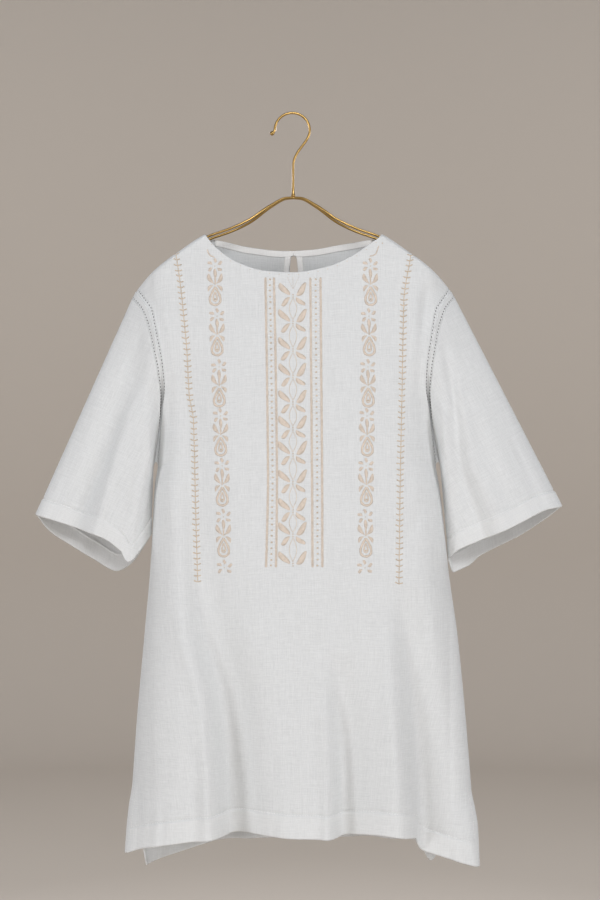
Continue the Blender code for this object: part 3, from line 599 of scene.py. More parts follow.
def makePanel(face):
    # a panel's grid as the outer skin, and its points moved in by the wall as the inner one
    grid = panelGrid(face)
    inward = panelInward(face, grid)
    walls = panelWalls(face, grid)
    uv = clothLengths(grid, (0, 0, -1), grid.shape[1] // 2)
    bulge = panelBulge(face, grid)
    rows, columns = grid.shape[:2]
    quads = gridQuads(rows, columns)
    outer, ways = grid.reshape(-1, 3).copy(), inward.reshape(-1, 3)
    thick, flatUv, soft = walls.reshape(-1, 1), uv.reshape(-1, 2), bulge.ravel().copy()
    if face == "back":
        # the keyhole: the middle column is split and its neighbours are pushed aside
        middle = columns // 2
        drop = grid[0, middle, 2] - grid[:, middle, 2]
        half = np.where(drop < keyhole["depth"], smooth(keyhole, "drop", "half", drop), 0)
        openRows = np.flatnonzero(half > 0)
        shifted = grid.copy()
        x = grid[..., 0] - grid[:, [middle], 0]
        push = np.sign(x) * half[:, None] * np.clip(1 - np.abs(x) / keyhole["reach"], 0, 1)
        shifted[..., 0] += push
        outer = shifted.reshape(-1, 3).copy()
        ids = openRows * columns + middle
        copies = outer[ids].copy()
        outer[ids, 0] -= half[openRows]
        copies[:, 0] += half[openRows]
        renumber = np.arange(rows * columns)
        renumber[ids] = rows * columns + np.arange(len(ids))
        rightCell = (quads[:, 0] % columns) == middle
        quads = np.where(rightCell[:, None], renumber[quads], quads)
        outer = np.concatenate([outer, copies])
        ways = np.concatenate([ways, ways[ids]])
        thick = np.concatenate([thick, thick[ids]])
        flatUv = np.concatenate([flatUv, flatUv[ids]])
        soft[ids] = 1
        soft = np.concatenate([soft, np.ones(len(ids))])
    thing = addWall(face + "_cloth", outer, outer + ways * thick, quads, cotton, flatUv, soft)
    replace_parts(thing, face)
    return thing, grid


frontCloth, frontGrid = makePanel("front")
backCloth, backGrid = makePanel("back")
print("panels ready")


# A table of the front's and back's depth at each millimetre, to lay stitches and strips on them

def depthTable(grid):
    # each grid row read at every x, then each column of those at every z, with both slopes
    xs = np.arange(-206.0, 228.0, 1.0)
    zs = np.arange(-146.0, -906.0, -1.0)
    rowZ = np.stack([np.interp(xs, row[:, 0], row[:, 2]) for row in grid])
    rowY = np.stack([np.interp(xs, row[:, 0], row[:, 1]) for row in grid])
    table = np.stack([np.interp(-zs, -rowZ[:, i], rowY[:, i]) for i in range(len(xs))], axis=1)
    slopeZ, slopeX = np.gradient(table)
    return {"xs": xs, "zs": zs, "y": table, "slopeX": slopeX, "slopeZ": -slopeZ}


def onPanel(table, x, z, lift):
    # the panel's outer point at x and z, moved out along its normal
    column = np.clip(x - table["xs"][0], 0, len(table["xs"]) - 1.001)
    row = np.clip(table["zs"][0] - z, 0, len(table["zs"]) - 1.001)
    c, r = column.astype(int), row.astype(int)
    fc, fr = column - c, row - r

    def read(values):
        # the mean of the four nearest values, weighted by nearness
        return ((values[r, c] * (1 - fc) + values[r, c + 1] * fc) * (1 - fr)
                + (values[r + 1, c] * (1 - fc) + values[r + 1, c + 1] * fc) * fr)

    y = read(table["y"])
    sign = np.sign(y)
    normal = unit(np.stack([-sign * read(table["slopeX"]), sign, -sign * read(table["slopeZ"])], axis=-1))
    return np.stack([x, y, z], axis=-1) + normal * np.asarray(lift)[..., None], normal


frontTable = depthTable(frontGrid)
backTable = depthTable(backGrid)


# Sleeves

sleeveForm = {
    "right": {
        "outerEnd": (-309, -480), "innerEnd": (-170.7, -504), "hemBand": 20.0,
        "front": {"part": [0, 0.14, 0.37, 0.59, 0.75, 0.81, 0.92, 1],
                  "drop": [0, 2, 7, 12, 24, 36, 18, 0], "depth": [24, 24, 25, 29, 31, 32, 27, 20]},
        "back": {"part": [0, 0.1, 0.32, 0.48, 0.67, 0.8, 1],
                 "drop": [0, 17, 33, 43, 53, 42, 0], "depth": [22, 23, 24, 26, 27, 26, 20]},
        "fold": {"along": [0, 0.3, 0.5, 0.7, 1], "part": [0.3, 0.33, 0.37, 0.4, 0.42],
                 "width": [0.06, 0.065, 0.07, 0.075, 0.08], "depth": [0, 5, 8, 10, 11], "lean": -1},
        # start along and part, end along and part, width in parts, depth
        "frontCreases": [(0.3, 0.06, 1.2, 0.24, 0.06, -1.6), (0.2, 0.3, 1.2, 0.6, 0.05, -1.5),
                         (0.2, 0.66, 1.1, 0.8, 0.05, 1.8), (-0.1, 0.1, 0.5, 0.22, 0.04, 1.2),
                         (-0.1, 0.4, 0.35, 0.6, 0.04, 1.0), (0.6, 0.3, 1.2, 0.33, 0.03, 0.9),
                         (0.5, 0.9, 1.1, 0.88, 0.04, 1.0), (0.75, 0.12, 1.2, 0.1, 0.03, 0.7)],
        "backCreases": [(0.1, 0.3, 1.2, 0.42, 0.09, 3.5), (0.2, 0.7, 1.1, 0.72, 0.07, 2.0),
                        (-0.1, 0.15, 0.5, 0.2, 0.04, 1.0), (0.5, 0.55, 1.2, 0.58, 0.04, -1.0)]},
    "left": {
        "outerEnd": (322, -470), "innerEnd": (186.2, -531), "hemBand": 20.0,
        "front": {"part": [0, 0.2, 0.5, 0.9, 1],
                  "drop": [0, -6, -4, -5, 0], "depth": [24, 25, 28, 30, 24]},
        "back": {"part": [0, 0.14, 0.4, 0.7, 0.82, 0.95, 1],
                 "drop": [0, 8, 15, 17, 23, 22, 5], "depth": [22, 23, 25, 26, 27, 27, 22]},
        "fold": {"along": [0, 0.16, 0.3, 0.57, 1], "part": [0.2, 0.3, 0.46, 0.63, 0.65],
                 "width": [0.06, 0.065, 0.07, 0.075, 0.08], "depth": [0, 2, 5, 8, 9], "lean": 1},
        "frontCreases": [(-0.1, 0.12, 0.5, 0.55, 0.06, 1.6), (0.2, 0.2, 1.2, 0.32, 0.07, -1.6),
                         (0.3, 0.66, 1.2, 0.78, 0.05, -1.4), (0.5, 0.1, 1.2, 0.14, 0.04, 0.9),
                         (0.5, 0.44, 1.2, 0.47, 0.04, -0.9), (-0.1, 0.4, 0.3, 0.5, 0.04, 1.0),
                         (0.6, 0.86, 1.2, 0.88, 0.03, 0.8)],
        "backCreases": [(0.1, 0.34, 1.2, 0.4, 0.09, 3.5), (0.2, 0.68, 1.1, 0.72, 0.07, 2.2),
                        (-0.1, 0.15, 0.5, 0.2, 0.04, 1.0), (0.5, 0.55, 1.2, 0.58, 0.04, -1.0)]}}
sleeveCount = {"around": 74, "rings": 96}


def sleevePoint(side, face, along, part):
    # from the outer fold to the underarm on a straight line, with a bow and depth that change from
    # the armhole's to the hem's, an edge that drops towards the hem, and creases taken off
    form = sleeveForm[side]
    sine = 2 * np.sqrt(np.clip(part * (1 - part), 0, None))
    arm = loopForm["sleeve" + face.capitalize()]
    sign = -1 if face == "front" else 1
    bodyward = 1 if side == "right" else -1
    ends = armhole[side]
    outerX = ends["sleeveTop"][0] + (form["outerEnd"][0] - ends["sleeveTop"][0]) * along
    outerZ = ends["sleeveTop"][1] + (form["outerEnd"][1] - ends["sleeveTop"][1]) * along
    innerX = ends["sleeveFoot"][0] + (form["innerEnd"][0] - ends["sleeveFoot"][0]) * along
    innerZ = ends["sleeveFoot"][1] + (form["innerEnd"][1] - ends["sleeveFoot"][1]) * along
    x = outerX + (innerX - outerX) * part
    z = outerZ + (innerZ - outerZ) * part
    bow = smooth(arm, "part", "inward", part) * (1 - along) ** 1.6
    fall = smooth(form[face], "part", "drop", part) * along ** 1.4
    blend = ease(along / 0.2)
    depth = (smooth(arm, "part", "depth", part) * (1 - blend)
             + smooth(form[face], "part", "depth", part) * blend) * sine
    if face == "front":
        fold = form["fold"]
        centre = smooth(fold, "along", "part", along)
        width = smooth(fold, "along", "width", along)
        depth = depth - smooth(fold, "along", "depth", along) * valley((part - centre) / width, fold["lean"])
    fine = sleeveCreases(form[face + "Creases"], along, part)
    depth = depth - fine * ease(along / 0.1) * ease(part / 0.06) * ease((1 - part) / 0.06)
    return np.stack([x + bodyward * bow, sign * depth, z - fall], axis=-1)


def sleeveCreases(creases, along, part):
    # as on the panels, but each crease runs from one share of the sleeve's length to another
    total = np.zeros_like(part)
    for startAlong, startPart, endAlong, endPart, width, depth in creases:
        share = (along - startAlong) / (endAlong - startAlong)
        centre = startPart + (endPart - startPart) * share + 0.03 * np.sin(math.pi * share)
        fade = np.sin(math.pi * np.clip(share, 0, 1))
        total += depth * fade * np.exp(-((part - centre) / width) ** 2)
    return total


def makeSleeve(side):
    # front and back halves joined in rings, which lie closer at both ends and at the hem's stitches
    part = (1 - np.cos(np.linspace(0, math.pi, sleeveCount["around"]))) / 2
    main = np.linspace(0, 1, sleeveCount["rings"])
    along = np.unique(np.concatenate([main, [0.004, 0.01, *np.linspace(0.905, 0.945, 15), 0.997]]))
    a, p = np.meshgrid(along, part, indexing="ij")
    front = sleevePoint(side, "front", a, p)
    back = sleevePoint(side, "back", a, p)
    grid = np.concatenate([front, back[:, -2:0:-1]], axis=1)
    # distance up from the hem edge along each column
    steps = np.linalg.norm(np.diff(grid, axis=0), axis=2)
    rise = np.concatenate([np.cumsum(steps[::-1], axis=0)[::-1], np.zeros((1, grid.shape[1]))])
    inward = gridNormals(grid, closed=True)
    centre = grid.mean(axis=1, keepdims=True)
    if np.sum(inward * (centre - grid)) < 0:
        inward = -inward
    inFront = halfLoopInward(side, "sleeve", "front", part)
    inBack = halfLoopInward(side, "sleeve", "back", part)
    inward[0] = np.concatenate([inFront, inBack[-2:0:-1]])
    band = sleeveForm[side]["hemBand"]
    turnShare = np.arange(grid.shape[1]) / grid.shape[1] * 2 * math.pi
    pull = 0.35 + 0.2 * np.sin(23 * turnShare + 2 * np.sin(5 * turnShare))
    groove = (0.3 + pull[None]) * np.exp(-((rise - band - 0.6) / 1.4) ** 2) - 0.6 * ease((band - rise) / 1.6)
    grid = grid + inward * groove[..., None]
    walls = outline["wall"] + (outline["hemWall"] - outline["wall"]) * ease((band + 1 - rise) / 2)
    ends = armhole[side]["sleeveTop"], sleeveForm[side]["outerEnd"]
    uv = clothLengths(grid, (ends[1][0] - ends[0][0], 0, ends[1][1] - ends[0][1]), 0)
    bulge = np.zeros(grid.shape[:2])
    bulge[-1] = 1
    quads = gridQuads(*grid.shape[:2], closed=True)
    outer = grid.reshape(-1, 3)
    inner = outer + (inward * walls[..., None]).reshape(-1, 3)
    thing = addWall("sleeve_" + side + "_cloth", outer, inner, quads, cotton, uv.reshape(-1, 2),
                    bulge.ravel())
    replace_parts(thing, "sleeve_" + side)
    return thing, grid, inward, rise


sleeves = {side: makeSleeve(side) for side in ("right", "left")}
print("sleeves ready")


# Hemstitched bands round the armholes, with a round hole between each two bars

bandSettings = {"pitch": 4.0, "bar": 1.9, "edge": 0.9, "hole": 1.8, "ridge": 0.3, "trough": 9.0, "gap": 0.15,
                "seam": 1.1, "seamWidth": 0.13, "groove": 0.8, "sink": 0.35, "fullWidth": 6.6,
                "corner": 0.28, "wall": 1.0, "discSides": 10, "discShare": 0.8, "discDepth": (0.25, 0.45)}


def denseLoop(side, edge, count=1600):
    # a whole armhole, evenly spaced by length, with its wall direction
    part = (1 - np.cos(np.linspace(0, math.pi, count // 2 + 1))) / 2
    front, back = (halfLoop(side, edge, face, part) for face in ("front", "back"))
    inFront, inBack = (halfLoopInward(side, edge, face, part) for face in ("front", "back"))
    points = np.concatenate([front, back[-2:0:-1]])
    ways = np.concatenate([inFront, inBack[-2:0:-1]])
    return points, ways, np.concatenate([part, part[-2:0:-1]])


def makeBand(side):
    # rows from the body's edge to the sleeve's, as a tent over the gap that sinks at the underarm
    s = bandSettings
    body, bodyIn, part = denseLoop(side, "body")
    sleeve, sleeveIn, _ = denseLoop(side, "sleeve")
    line = (body + sleeve) / 2
    closedLine = np.concatenate([line, line[:1]])
    length = np.concatenate([[0], np.cumsum(np.linalg.norm(np.diff(closedLine, axis=0), axis=1))])
    count = int(round(length[-1] / s["pitch"]))
    pitch = length[-1] / count
    hole = pitch - s["bar"]
    offsets = np.array([0, s["bar"] / 2, s["bar"], s["bar"] + hole / 2])
    base = (np.arange(count)[:, None] * pitch + offsets[None]).ravel()
    wide = np.linalg.norm(sleeve - body, axis=1) - 2 * s["gap"]
    scale = np.minimum(1, np.interp(base, length[:-1], wide) / s["fullWidth"])
    e, h = s["edge"], s["hole"]
    fromBody = [0, e * 0.5, e, e + h / 2, e + h, e + h + 0.6]
    middleShare = np.linspace(0, 1, 9)[1:-1]
    rows = len(fromBody) * 2 + len(middleShare)
    width = np.interp(base, length[:-1], wide)
    across = np.zeros((rows, len(base)))
    for i, value in enumerate(fromBody):
        across[i] = value * scale
        across[rows - 1 - i] = width - value * scale
    for i, share in enumerate(middleShare):
        low, high = across[len(fromBody) - 1], across[rows - len(fromBody)]
        across[len(fromBody) + i] = low + (high - low) * share
    along = np.tile(base, (rows, 1))
    # the corners of each hole are drawn in, which makes it round
    holeRows = [(2, 3, 4), (rows - 5, rows - 4, rows - 3)]
    kind = np.arange(len(base)) % 4
    for low, mid, high in holeRows:
        corner = s["corner"] * h / 2 * scale
        for column in (2, 0):
            at = kind == column
            across[low, at] += corner[at]
            across[high, at] -= corner[at]
            shift = (s["corner"] if column == 2 else -s["corner"]) * hole / 2
            along[low, at] += shift
            along[high, at] += shift
    share = (across + s["gap"]) / (width + 2 * s["gap"])[None]
    at = np.mod(along, length[-1])

    def read(values):
        # a value of the closed loop at each point's length along it
        looped = np.concatenate([values, values[:1]])
        return np.stack([np.interp(at, length, looped[:, i]) for i in range(3)], axis=-1)

    bodyAt, sleeveAt = read(body), read(sleeve)
    inward = unit(read(bodyIn) * (1 - share[..., None]) + read(sleeveIn) * share[..., None])
    partAt = np.interp(at, length, np.concatenate([part, part[:1]]))
    toUnderarm = ease((partAt - 0.3) / 0.35)
    tall = s["ridge"] - (s["ridge"] + s["trough"]) * toUnderarm
    tent = 1 - np.abs(share - 0.5) * 2
    seam = s["seam"] * np.exp(-((share - 0.5) / s["seamWidth"]) ** 2) * (1 - 0.6 * toUnderarm)
    rise = tall * tent ** 1.3 + seam - s["groove"] * np.exp(-((share - 0.36) / 0.06) ** 2)
    for low, mid, high in holeRows:
        rise[mid] -= s["sink"]
    grid = bodyAt + (sleeveAt - bodyAt) * share[..., None] - inward * rise[..., None]
    quads = gridQuads(rows, len(base), closed=True)
    cellRow, cellKind = quads[:, 0] // len(base), (quads[:, 0] % len(base)) % 4
    isHole = np.isin(cellRow, [2, 3, rows - 5, rows - 4]) & (cellKind >= 2)
    outer = grid.reshape(-1, 3)
    uv = np.stack([across.ravel(), along.ravel()], axis=1)
    bulge = np.zeros(rows * len(base))
    bulge[len(base) * 2:len(base) * (rows - 2)] = 0.25
    thing = addWall("armhole_band_" + side + "_cloth", outer, outer + inward.reshape(-1, 3) * s["wall"],
                    quads[~isHole], cotton, uv, bulge)
    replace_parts(thing, "armhole_band_" + side)
    # a small dark disc halfway down each hole is painted shade, which stands for the shade inside the blouse
    centres = np.concatenate([grid[mid, kind == 3] for low, mid, high in holeRows])
    inner = np.concatenate([inward[mid, kind == 3] for low, mid, high in holeRows])
    beside = np.concatenate([grid[high, kind == 3] - grid[low, kind == 3] for low, mid, high in holeRows]) / 2
    ahead = unit(np.cross(beside, inner)) * hole / 2
    sides = s["discSides"]
    ring = np.arange(sides)
    angles = (ring / sides * 2 * math.pi)[:, None]
    flat = (beside[:, None] * np.cos(angles) + ahead[:, None] * np.sin(angles)) * s["discShare"]
    levels = [centres + inner * depth for depth in s["discDepth"]]
    points = np.stack([level[:, None] + flat for level in levels], axis=1).reshape(-1, 3)
    start = (np.arange(len(centres)) * 2 * sides)[:, None]
    walls = gridQuads(2, sides, closed=True)[None] + start[:, :, None]
    top, foot = ring[None, ::-1] + start, ring[None] + sides + start
    a, b, c = points[top[0, :3]]
    if np.dot(np.cross(b - a, c - a), inner[0]) > 0:
        walls, top, foot = walls[..., ::-1], top[:, ::-1], foot[:, ::-1]
    discs = addMesh("hemstitch_painted_shade_" + side, points, [walls.reshape(-1, 4), top, foot], shade)
    return thing, discs


bands = {side: makeBand(side) for side in ("right", "left")}
print("bands ready")


# Facings inside the back neck and along the keyhole

facingSettings = {"height": 7.0, "endX": 95.0, "width": 6.6, "wall": 0.6, "lift": 1.3, "foot": 66.0}


def layInside(name, x, z, node):
    # a strip on the back's inside: its points moved in past the wall, then given its own wall
    point, normal = onPanel(backTable, x, z, np.zeros_like(x))
    near = point - normal * facingSettings["lift"]
    far = point - normal * (facingSettings["lift"] + facingSettings["wall"])
    uv = np.stack([x.ravel(), z.ravel()], axis=1)
    quads = gridQuads(*x.shape)
    thing = addWall(name, near.reshape(-1, 3), far.reshape(-1, 3), quads, facing, uv,
                    np.full(x.size, 0.8))
    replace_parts(thing, node)


for side, sign in (("right", -1), ("left", 1)):
    share = np.linspace(0, 1, 60)[None]
    drop = np.concatenate([[0.05, 0.4, 1.0], np.linspace(1.8, facingSettings["height"], 6)])[:, None]
    inner = smooth(keyhole, "drop", "half", drop)
    x = sign * (inner + (facingSettings["endX"] - inner) * share)
    z = smooth(neckline["back"], "x", "z", x) - drop
    layInside("neck_facing_" + side + "_strip", x, z, "neck_facing_" + side)
    drop = np.linspace(facingSettings["height"] + 0.3, facingSettings["foot"], 34)[:, None]
    inner = np.where(drop < keyhole["depth"], smooth(keyhole, "drop", "half", drop), 0.2)
    share = np.linspace(0, 1, 5)[None]
    x = sign * (inner + facingSettings["width"] * share)
    z = smooth(neckline["back"], "x", "z", np.zeros_like(x)) - drop
    layInside("keyhole_facing_" + side + "_strip", x, z, "keyhole_facing_" + side)
print("facings ready")


# Threads: closed tubes of a flat oval section along paths

def tubes(name, centres, normals, halfWide, halfHigh, material, sides=6):
    # centres (n, k, 3); the section's wide axis is square to the path and to the cloth's normal
    count, steps = centres.shape[:2]
    ahead = unit(np.gradient(centres, axis=1))
    aside = unit(np.cross(normals, ahead))
    angles = np.arange(sides) / sides * 2 * math.pi
    ring = (centres[:, :, None] + aside[:, :, None] * (halfWide[..., None] * np.cos(angles))[..., None]
            + normals[:, :, None] * (halfHigh[..., None] * np.sin(angles))[..., None])
    points = ring.reshape(-1, 3)
    cell = gridQuads(steps, sides, closed=True)
    start = (np.arange(count) * steps * sides)[:, None, None]
    quads = (cell[None] + start).reshape(-1, 4)
    cap = np.arange(sides)
    firstCap = (cap[None, ::-1] + start[:, 0]).reshape(-1, sides)
    lastCap = (cap[None] + (steps - 1) * sides + start[:, 0]).reshape(-1, sides)
    a = points[quads[0]]
    outward = np.dot(np.cross(a[1] - a[0], a[2] - a[0]), a.mean(axis=0) - centres[0, 0])
    if outward < 0:
        quads = quads[:, ::-1]
        firstCap, lastCap = firstCap[:, ::-1], lastCap[:, ::-1]
    # caps face away from the tube
    inside = centres[0, 1] - centres[0, 0]
    c = points[firstCap[0]]
    if np.dot(np.cross(c[1] - c[0], c[2] - c[0]), inside) > 0:
        firstCap = firstCap[:, ::-1]
    inside = centres[0, -2] - centres[0, -1]
    c = points[lastCap[0]]
    if np.dot(np.cross(c[1] - c[0], c[2] - c[0]), inside) > 0:
        lastCap = lastCap[:, ::-1]
    thing = addMesh(name, points, [quads, firstCap, lastCap], material)
    print(name, len(quads) * 2 + 2 * count * (sides - 2), "triangles")
    return thing


class Basket:
    # collects stitches of one step count on a panel: x, z, width, height and lift along each one
    def __init__(self):
        self.columns = [[], [], [], [], []]

    def add(self, *values):
        for column, value in zip(self.columns, values):
            column.append(np.atleast_2d(value))

    def build(self, name, table, material, sides=6):
        x, z, wide, high, lift = (np.concatenate(column) for column in self.columns)
        centres, normals = onPanel(table, x, z, lift)
        return tubes(name, centres, normals, wide / 2, high / 2, material, sides)


def stitchRows(x0, z0, x1, z1, width, height, steps=4, lift=0.12, arch=0.25):
    # straight stitches between two arrays of points, arched and narrow at both ends
    t = np.linspace(0, 1, steps)[None]
    x = x0[:, None] + (x1 - x0)[:, None] * t
    z = z0[:, None] + (z1 - z0)[:, None] * t
    hump = np.sin(math.pi * t) ** 0.6
    taper = 0.35 + 0.65 * hump
    wide = np.broadcast_to(width, len(x0))[:, None] * taper
    high = np.broadcast_to(height, len(x0))[:, None] * taper
    return x, z, wide, high, lift + arch * hump + 0 * x


def satinLeaf(x0, z0, x1, z1, width, bulge=0.0, slant=0.9, pitch=0.85, belly=0.45):
    # threads laid side by side across a leaf: its half width is a sine with the belly moved along
    length = math.hypot(x1 - x0, z1 - z0)
    count = max(int(length / pitch), 4)
    t = (np.arange(count) + 0.5) / count
    dx, dz = (x1 - x0) / length, (z1 - z0) / length
    nx, nz = -dz, dx
    shape = np.sin(math.pi * t ** (math.log(0.5) / math.log(belly))) ** 0.72
    bend = bulge * np.sin(math.pi * t)
    half = width / 2 * shape
    cx = x0 + dx * length * t + nx * bend
    cz = z0 + dz * length * t + nz * bend
    sx, sz = dx * slant * half, dz * slant * half
    return (cx - nx * half - sx, cz - nz * half - sz, cx + nx * half + sx, cz + nz * half + sz)


# Embroidery of the front. Every place is in the row's own x and z.

band = {
    "z": [-199.5, -255.5, -314.8, -373.8, -432.6, -491.4, -543],
    "outerRight": [-33.1, -32.0, -31.1, -30.4, -29.8, -30.8, -32.2],
    "innerRight": [-23.0, -21.7, -20.7, -19.8, -19.3, -19.7, -20.4],
    "innerLeft": [20.1, 20.6, 21.0, 21.5, 21.9, 22.3, 22.5],
    "outerLeft": [32.1, 32.5, 32.9, 33.4, 33.8, 34.0, 34.2],
    "top": -199.0, "foot": -541.5, "link": 3.1, "linkWidth": 2.9, "thread": 1.3, "dotPitch": 6.9,
    "motifZ": [-220.7, -252.2, -285.0, -316.3, -347.7, -378.1, -408.8, -441.9, -474.9, -503.4, -537.8],
    "motifX": -0.5}
sideColumns = {
    "right": {"z": [-184.9, -244.7, -305.2, -363.1, -422.0, -482.0, -541.9],
              "x": [-93.0, -90.4, -87.8, -85.9, -84.0, -82.4, -81.0]},
    "left": {"z": [-184.9, -244.7, -305.2, -363.1, -422.0, -482.0, -541.9],
             "x": [91.3, 89.4, 88.0, 86.8, 85.7, 85.0, 84.2]}}
ferns = {
    "right": {"z": [-170.1, -201.5, -261.8, -283.8, -338.3, -367.8, -462.1, -559],
              "x": [-139.7, -134.9, -128.3, -126.3, -123.4, -118.4, -115.8, -113.4]},
    "left": {"z": [-171.4, -225.4, -344.2, -462.0, -562],
             "x": [139.7, 131.1, 128.2, 125.5, 124.2]},
    "pitch": 6.7, "reach": 3.8, "tilt": 0.7}
# angle, distance and length of each petal of a side motif's flower
petals = [(90, 6.6, 5.4), (152, 6.9, 6.0), (28, 6.7, 6.0), (214, 6.7, 6.0), (326, 6.5, 5.8)]


def chainLinks(column):
    # chain stitch: pointed loops one inside the next, each a closed line of nine points
    count = int((band["top"] - band["foot"]) / band["link"])
    top = band["top"] - np.arange(count) * band["link"]
    t = np.linspace(0, 1, 9)
    down = 1 - np.cos(2 * math.pi * t)
    loopZ = -down / 2 * band["link"] * 1.25
    loopX = np.sin(2 * math.pi * t) * (band["linkWidth"] - band["thread"]) / 2 * (0.75 + 0.25 * down)
    z = top[:, None] + loopZ[None]
    x = smooth(band, "z", column, top)[:, None] + loopX[None]
    x = x + random.normal(0, 0.08, len(top))[:, None]
    wide = np.full_like(x, band["thread"])
    high = np.full_like(x, 0.4)
    lift = 0.08 + 0.1 * np.sin(math.pi * t)[None] + 0 * x
    return x, z, wide, high, lift


chain, dots, ladder = Basket(), Basket(), Basket()
for column in ("outerRight", "innerRight", "innerLeft", "outerLeft"):
    chain.add(*chainLinks(column))
for outerLine, innerLine in (("outerRight", "innerRight"), ("innerLeft", "outerLeft")):
    # a row of dots between each two chains, and white bars that reach in from both
    z = np.arange(band["top"] - 2, band["foot"] + 0.5, -band["dotPitch"])
    z = z + random.normal(0, 0.25, len(z))
    x = (smooth(band, "z", outerLine, z) + smooth(band, "z", innerLine, z)) / 2
    x = x + random.normal(0, 0.15, len(z))
    dots.add(*stitchRows(x - 1.1, z, x + 1.3, z + 0.1, 2.1, 0.8, lift=0.15, arch=0.25))
    z = np.arange(band["top"], band["foot"] + 0.5, -band["dotPitch"] / 2)
    x0, x1 = smooth(band, "z", outerLine, z) + 1.6, smooth(band, "z", innerLine, z) - 1.6
    ladder.add(*stitchRows(x0, z, x0 + 2.6, z + 0.3, 0.7, 0.5))
    ladder.add(*stitchRows(x1 - 2.6, z + 0.3, x1, z, 0.7, 0.5))
chainPiece = chain.build("band_chain_stitch", frontTable, tanThread)
dotPiece = dots.build("band_dots", frontTable, darkThread)
ladderPiece = ladder.build("band_ladder", frontTable, whiteThread)

satin, outlines, fineLines, knots = Basket(), Basket(), Basket(), Basket()


def addLeaf(x0, z0, x1, z1, width, **shape):
    # satin stitch as flat threads, which leave a fine groove between each two
    satin.add(*stitchRows(*satinLeaf(x0, z0, x1, z1, width, **shape), 1.15, 0.3, lift=0.03, arch=0.05))


def addKnot(x0, x1, z, width, height, lift=0.12):
    # one short raised stitch from x0 to x1
    ends = (np.array([value]) for value in (x0, z, x1, z))
    knots.add(*stitchRows(*ends, width, height, lift=lift))


def addLine(basket, x, z, width, height, steps=26):
    # a stitched line through a path, swelling a little with each stitch
    where = np.linspace(0, len(x) - 1, steps)
    x, z = np.interp(where, np.arange(len(x)), x), np.interp(where, np.arange(len(x)), z)
    beat = 0.85 + 0.15 * np.cos(np.arange(steps) * 2.1)
    beat[0] = beat[-1] = 0.4
    basket.add(x, z, width * beat, height * beat, np.full(steps, 0.2))


def lens(x, topZ, footZ, width):
    # a closed pointed oval: its half width is a sine of the share of its height
    t = np.linspace(0, math.pi, 14)
    half = width / 2 * np.sin(t)
    z = topZ + (footZ - topZ) * t / math.pi
    return np.concatenate([x - half, (x + half)[::-1]]), np.concatenate([z, z[::-1]])


def teardrop(x, topZ, footZ, width):
    # a drop: its half width is the sine of the angle times half the way down
    a = np.linspace(0, 2 * math.pi, 25)
    down = (1 - np.cos(a)) / 2
    return x + width / 2 * np.sin(a) * down ** 0.7 * 1.18, topZ + (footZ - topZ) * down


motifX = band["motifX"]
for index, z in enumerate(band["motifZ"]):
    last = index == len(band["motifZ"]) - 1
    wobble = random.normal(0, 0.35, 4)
    for sign in (-1, 1):
        addLeaf(motifX + sign * 4.2, z + 0.8, motifX + sign * (15.8 + wobble[0]),
                z + 15.2 + wobble[1], 8.0, bulge=sign * -1.2, belly=0.5)
        if not last:
            addLeaf(motifX + sign * 3.6, z - 1.6, motifX + sign * (13.9 + wobble[2]),
                    z - 10.8 + wobble[3], 6.5, bulge=sign * -0.5, belly=0.58)
    if not last:
        following = band["motifZ"][index + 1]
        addLine(fineLines, *lens(motifX, z - 3.2, following + 3.2, 8.8), 0.95, 0.6)
    addKnot(motifX - 0.8, motifX + 0.8, z + 1.2, 1.5, 0.9, lift=0.2)
    addKnot(motifX - 0.8, motifX + 0.8, z - 1.6, 1.4, 0.9, lift=0.2)
for x0, x1 in ((-2.6, -6.2), (0, 0), (2.6, 6.2)):
    z = np.linspace(-211.5, -199.5, 6)
    x = motifX + np.linspace(x0 * 0.3, x1, 6)
    knots.add(*stitchRows(x - 0.4, z, x + 0.4, z, 0.9, 0.6))


def sideMotif(x, z, last):
    # flower, stem with a pair of leaves, two small leaves and a drop
    for angle, reach, size in petals:
        a = math.radians(angle + random.normal(0, 3))
        r0, r1 = reach - size / 2, reach + size / 2
        addLeaf(x + r0 * math.cos(a), z + r0 * math.sin(a), x + r1 * math.cos(a), z + r1 * math.sin(a), 4.5,
                belly=0.6, slant=0.5)
    addKnot(x - 0.6, x + 0.6, z, 1.2, 0.8)
    if last:
        return
    knotZ = z - 22.4
    addLeaf(x, z - 3.4, x + 0.2, z - 15.5, 4.4, belly=0.4, slant=0.5)
    addLine(outlines, np.array([x + 0.1, x + 0.2, x + 0.3]), np.array([z - 11, z - 16, knotZ]), 2.0, 0.7)
    for sign in (-1, 1):
        addLeaf(x + sign * 1.0, knotZ + 1.2, x + sign * 8.0, knotZ + 13.4, 5.4,
                bulge=sign * -1.9, belly=0.6, slant=0.3)
        addLeaf(x + sign * 2.2, knotZ - 0.6, x + sign * 8.2, knotZ - 7.8, 4.2,
                bulge=sign * 1.7, belly=0.58, slant=0.3)
    addLine(outlines, *teardrop(x + 0.3, knotZ - 2.4, knotZ - 24.2, 15.4), 3.1, 0.7)
    addLine(outlines, *teardrop(x + 0.3, knotZ - 8.5, knotZ - 19.5, 5.4), 1.9, 0.55)
    addKnot(x - 1.0, x + 1.6, knotZ - 17.0, 1.8, 0.9)


for column in sideColumns.values():
    for index, (x, z) in enumerate(zip(column["x"], column["z"])):
        sideMotif(x, z, index == len(column["z"]) - 1)
